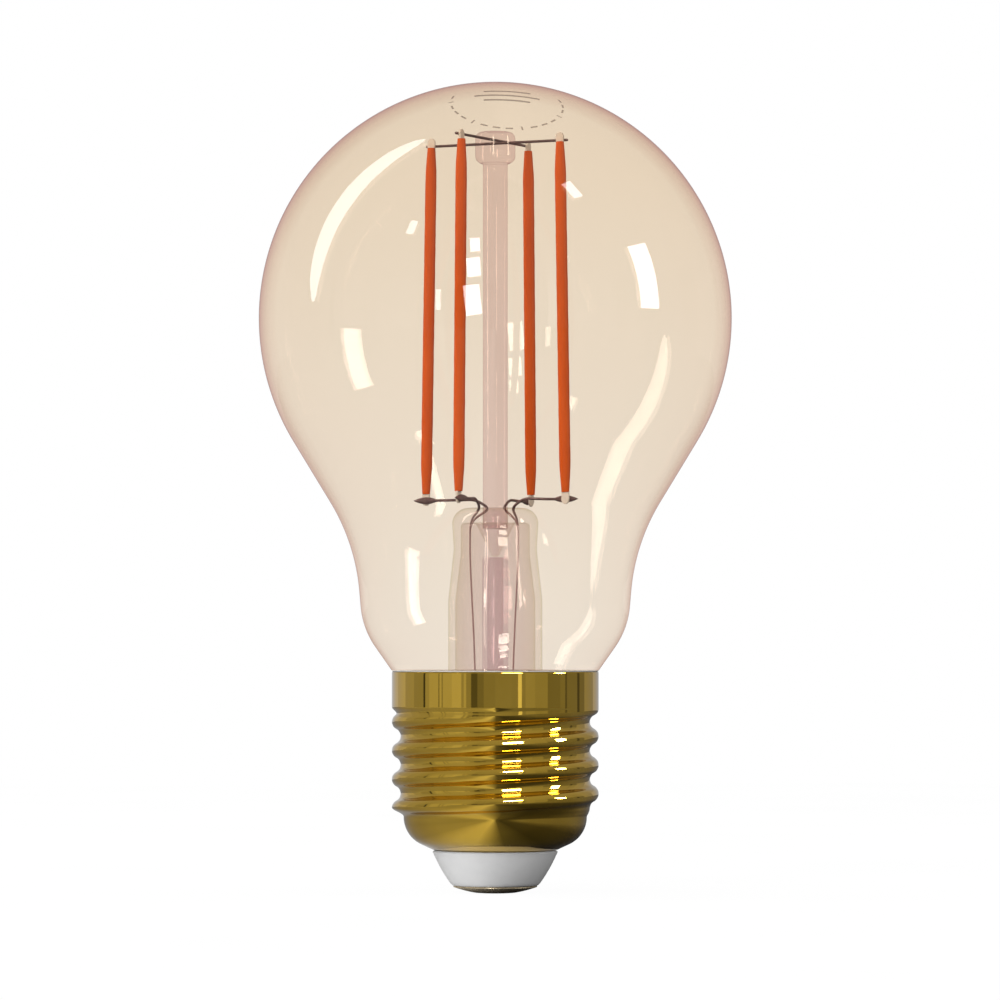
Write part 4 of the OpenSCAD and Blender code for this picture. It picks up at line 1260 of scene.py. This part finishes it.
def only_on(light, *objects):
    """Lets a light fall on these objects alone."""
    chosen = bpy.data.collections.new(light.name + "_targets")
    for obj in objects:
        chosen.objects.link(obj)
    light.light_linking.receiver_collection = chosen


def not_on(light, *objects):
    """Keeps a light off these objects."""
    only_on(light, *objects)
    for entry in light.light_linking.receiver_collection.collection_objects:
        entry.light_linking.link_state = "EXCLUDE"


# Panes of the window behind the camera, from the bottom: rise, width and height
WINDOW_PANES = [(0.093, 0.16, 0.30), (0.375, 0.13, 0.19), (0.604, 0.09, 0.14)]
# Panes that show small in the stem: bearing in degrees, height above the floor, width and height
STEM_PANES = [
    (21, 0.104, 0.55, 0.018), (21, 0.086, 0.45, 0.009), (21, 0.074, 0.34, 0.006),
    (54, 0.30, 0.10, 0.12), (-26, 0.19, 0.10, 0.06),
]
PANE_DISTANCE = 1.2
STRIP_ENDS = [(-1.0, 0.129, 0.10), (-0.36, 0.209, 0.93)]
RIGHT_WAY = (0.945, -0.18, 0.26)


def make_lights():
    """Panes and strips that show in the glass, stronger ones for the thread alone, small ones for
    the stem alone, and two soft lights that don't show in anything."""
    centre = Vector((0, 0, globe_c.y * MM))
    cap = bpy.data.objects["screw_cap"]
    stem = [bpy.data.objects[name] for name in ("glass_stem", "exhaust_pipe")]
    glass_lights = [
        bar("left_strip", *(centre + Vector(end) for end in STRIP_ENDS), 0.17, 6.5),
        panel("side_pane", (-0.45, -0.88, 0.10), PANE_DISTANCE, 0.05, 0.20, 8),
        panel("high_pane_left", (-0.58, -0.52, 0.61), 1.1, 0.07, 0.12, 9),
        panel("high_pane_right", (0.50, -0.29, 0.82), 1.1, 0.09, 0.15, 11),
    ]
    for light in glass_lights:
        not_on(light, cap)
    for row, (rise, width, tall) in enumerate(WINDOW_PANES):
        way = (-0.18, -0.96, rise)
        pane = panel(f"window_{row}", way, PANE_DISTANCE, width, tall, 14, roll=0.12)
        not_on(pane, cap, *stem)
    not_on(panel("right_panel", RIGHT_WAY, 1.0, 0.20, 0.42, 14), cap)
    only_on(panel("thread_window", (0.31, -0.88, 0.36), PANE_DISTANCE, 0.46, 0.20, 50), cap)
    only_on(panel("thread_panel", RIGHT_WAY, 1.0, 0.22, 0.30, 45), cap)
    for i, (bearing, z, width, tall) in enumerate(STEM_PANES):
        way = around(bearing - 90, 1, 0, 0)
        only_on(panel(f"stem_window_{i}", way, PANE_DISTANCE, width, tall, 12, height=z), *stem)
    key = panel("key", (-0.62, -0.76, 0.24), 1.6, 0.9, 0.9, 6.5)
    key.visible_glossy = False
    top = panel("overhead", (0.0, 0.1, 1.0), 1.4, 1.0, 1.0, 1.0)
    top.visible_glossy = False


make_floor()
make_world()
make_lights()


# ---- Camera ----
CAMERA_X = 0.6
CAMERA_DISTANCE = 650
CAMERA_HEIGHT = 32
LOOK_AT_Z = 49.73
VIEW_WIDTH = 126.86
SENSOR_WIDTH = 36


def make_camera():
    """A long lens slightly below the lamp's middle; the sizes are in millimetres."""
    data = bpy.data.cameras.new("camera")
    camera = bpy.data.objects.new("camera", data)
    scene.collection.objects.link(camera)
    place = Vector((CAMERA_X, -CAMERA_DISTANCE, CAMERA_HEIGHT))
    target = Vector((CAMERA_X, 0, LOOK_AT_Z))
    data.sensor_width = SENSOR_WIDTH
    data.lens = SENSOR_WIDTH * (target - place).length / VIEW_WIDTH
    camera.location = place * MM
    camera.rotation_euler = (target - place).to_track_quat("-Z", "Y").to_euler()
    scene.camera = camera


make_camera()
scene.view_settings.view_transform = "Standard"
scene.cycles.transparent_max_bounces = 32
scene.cycles.max_bounces = 16
scene.cycles.caustics_reflective = False
scene.cycles.caustics_refractive = False
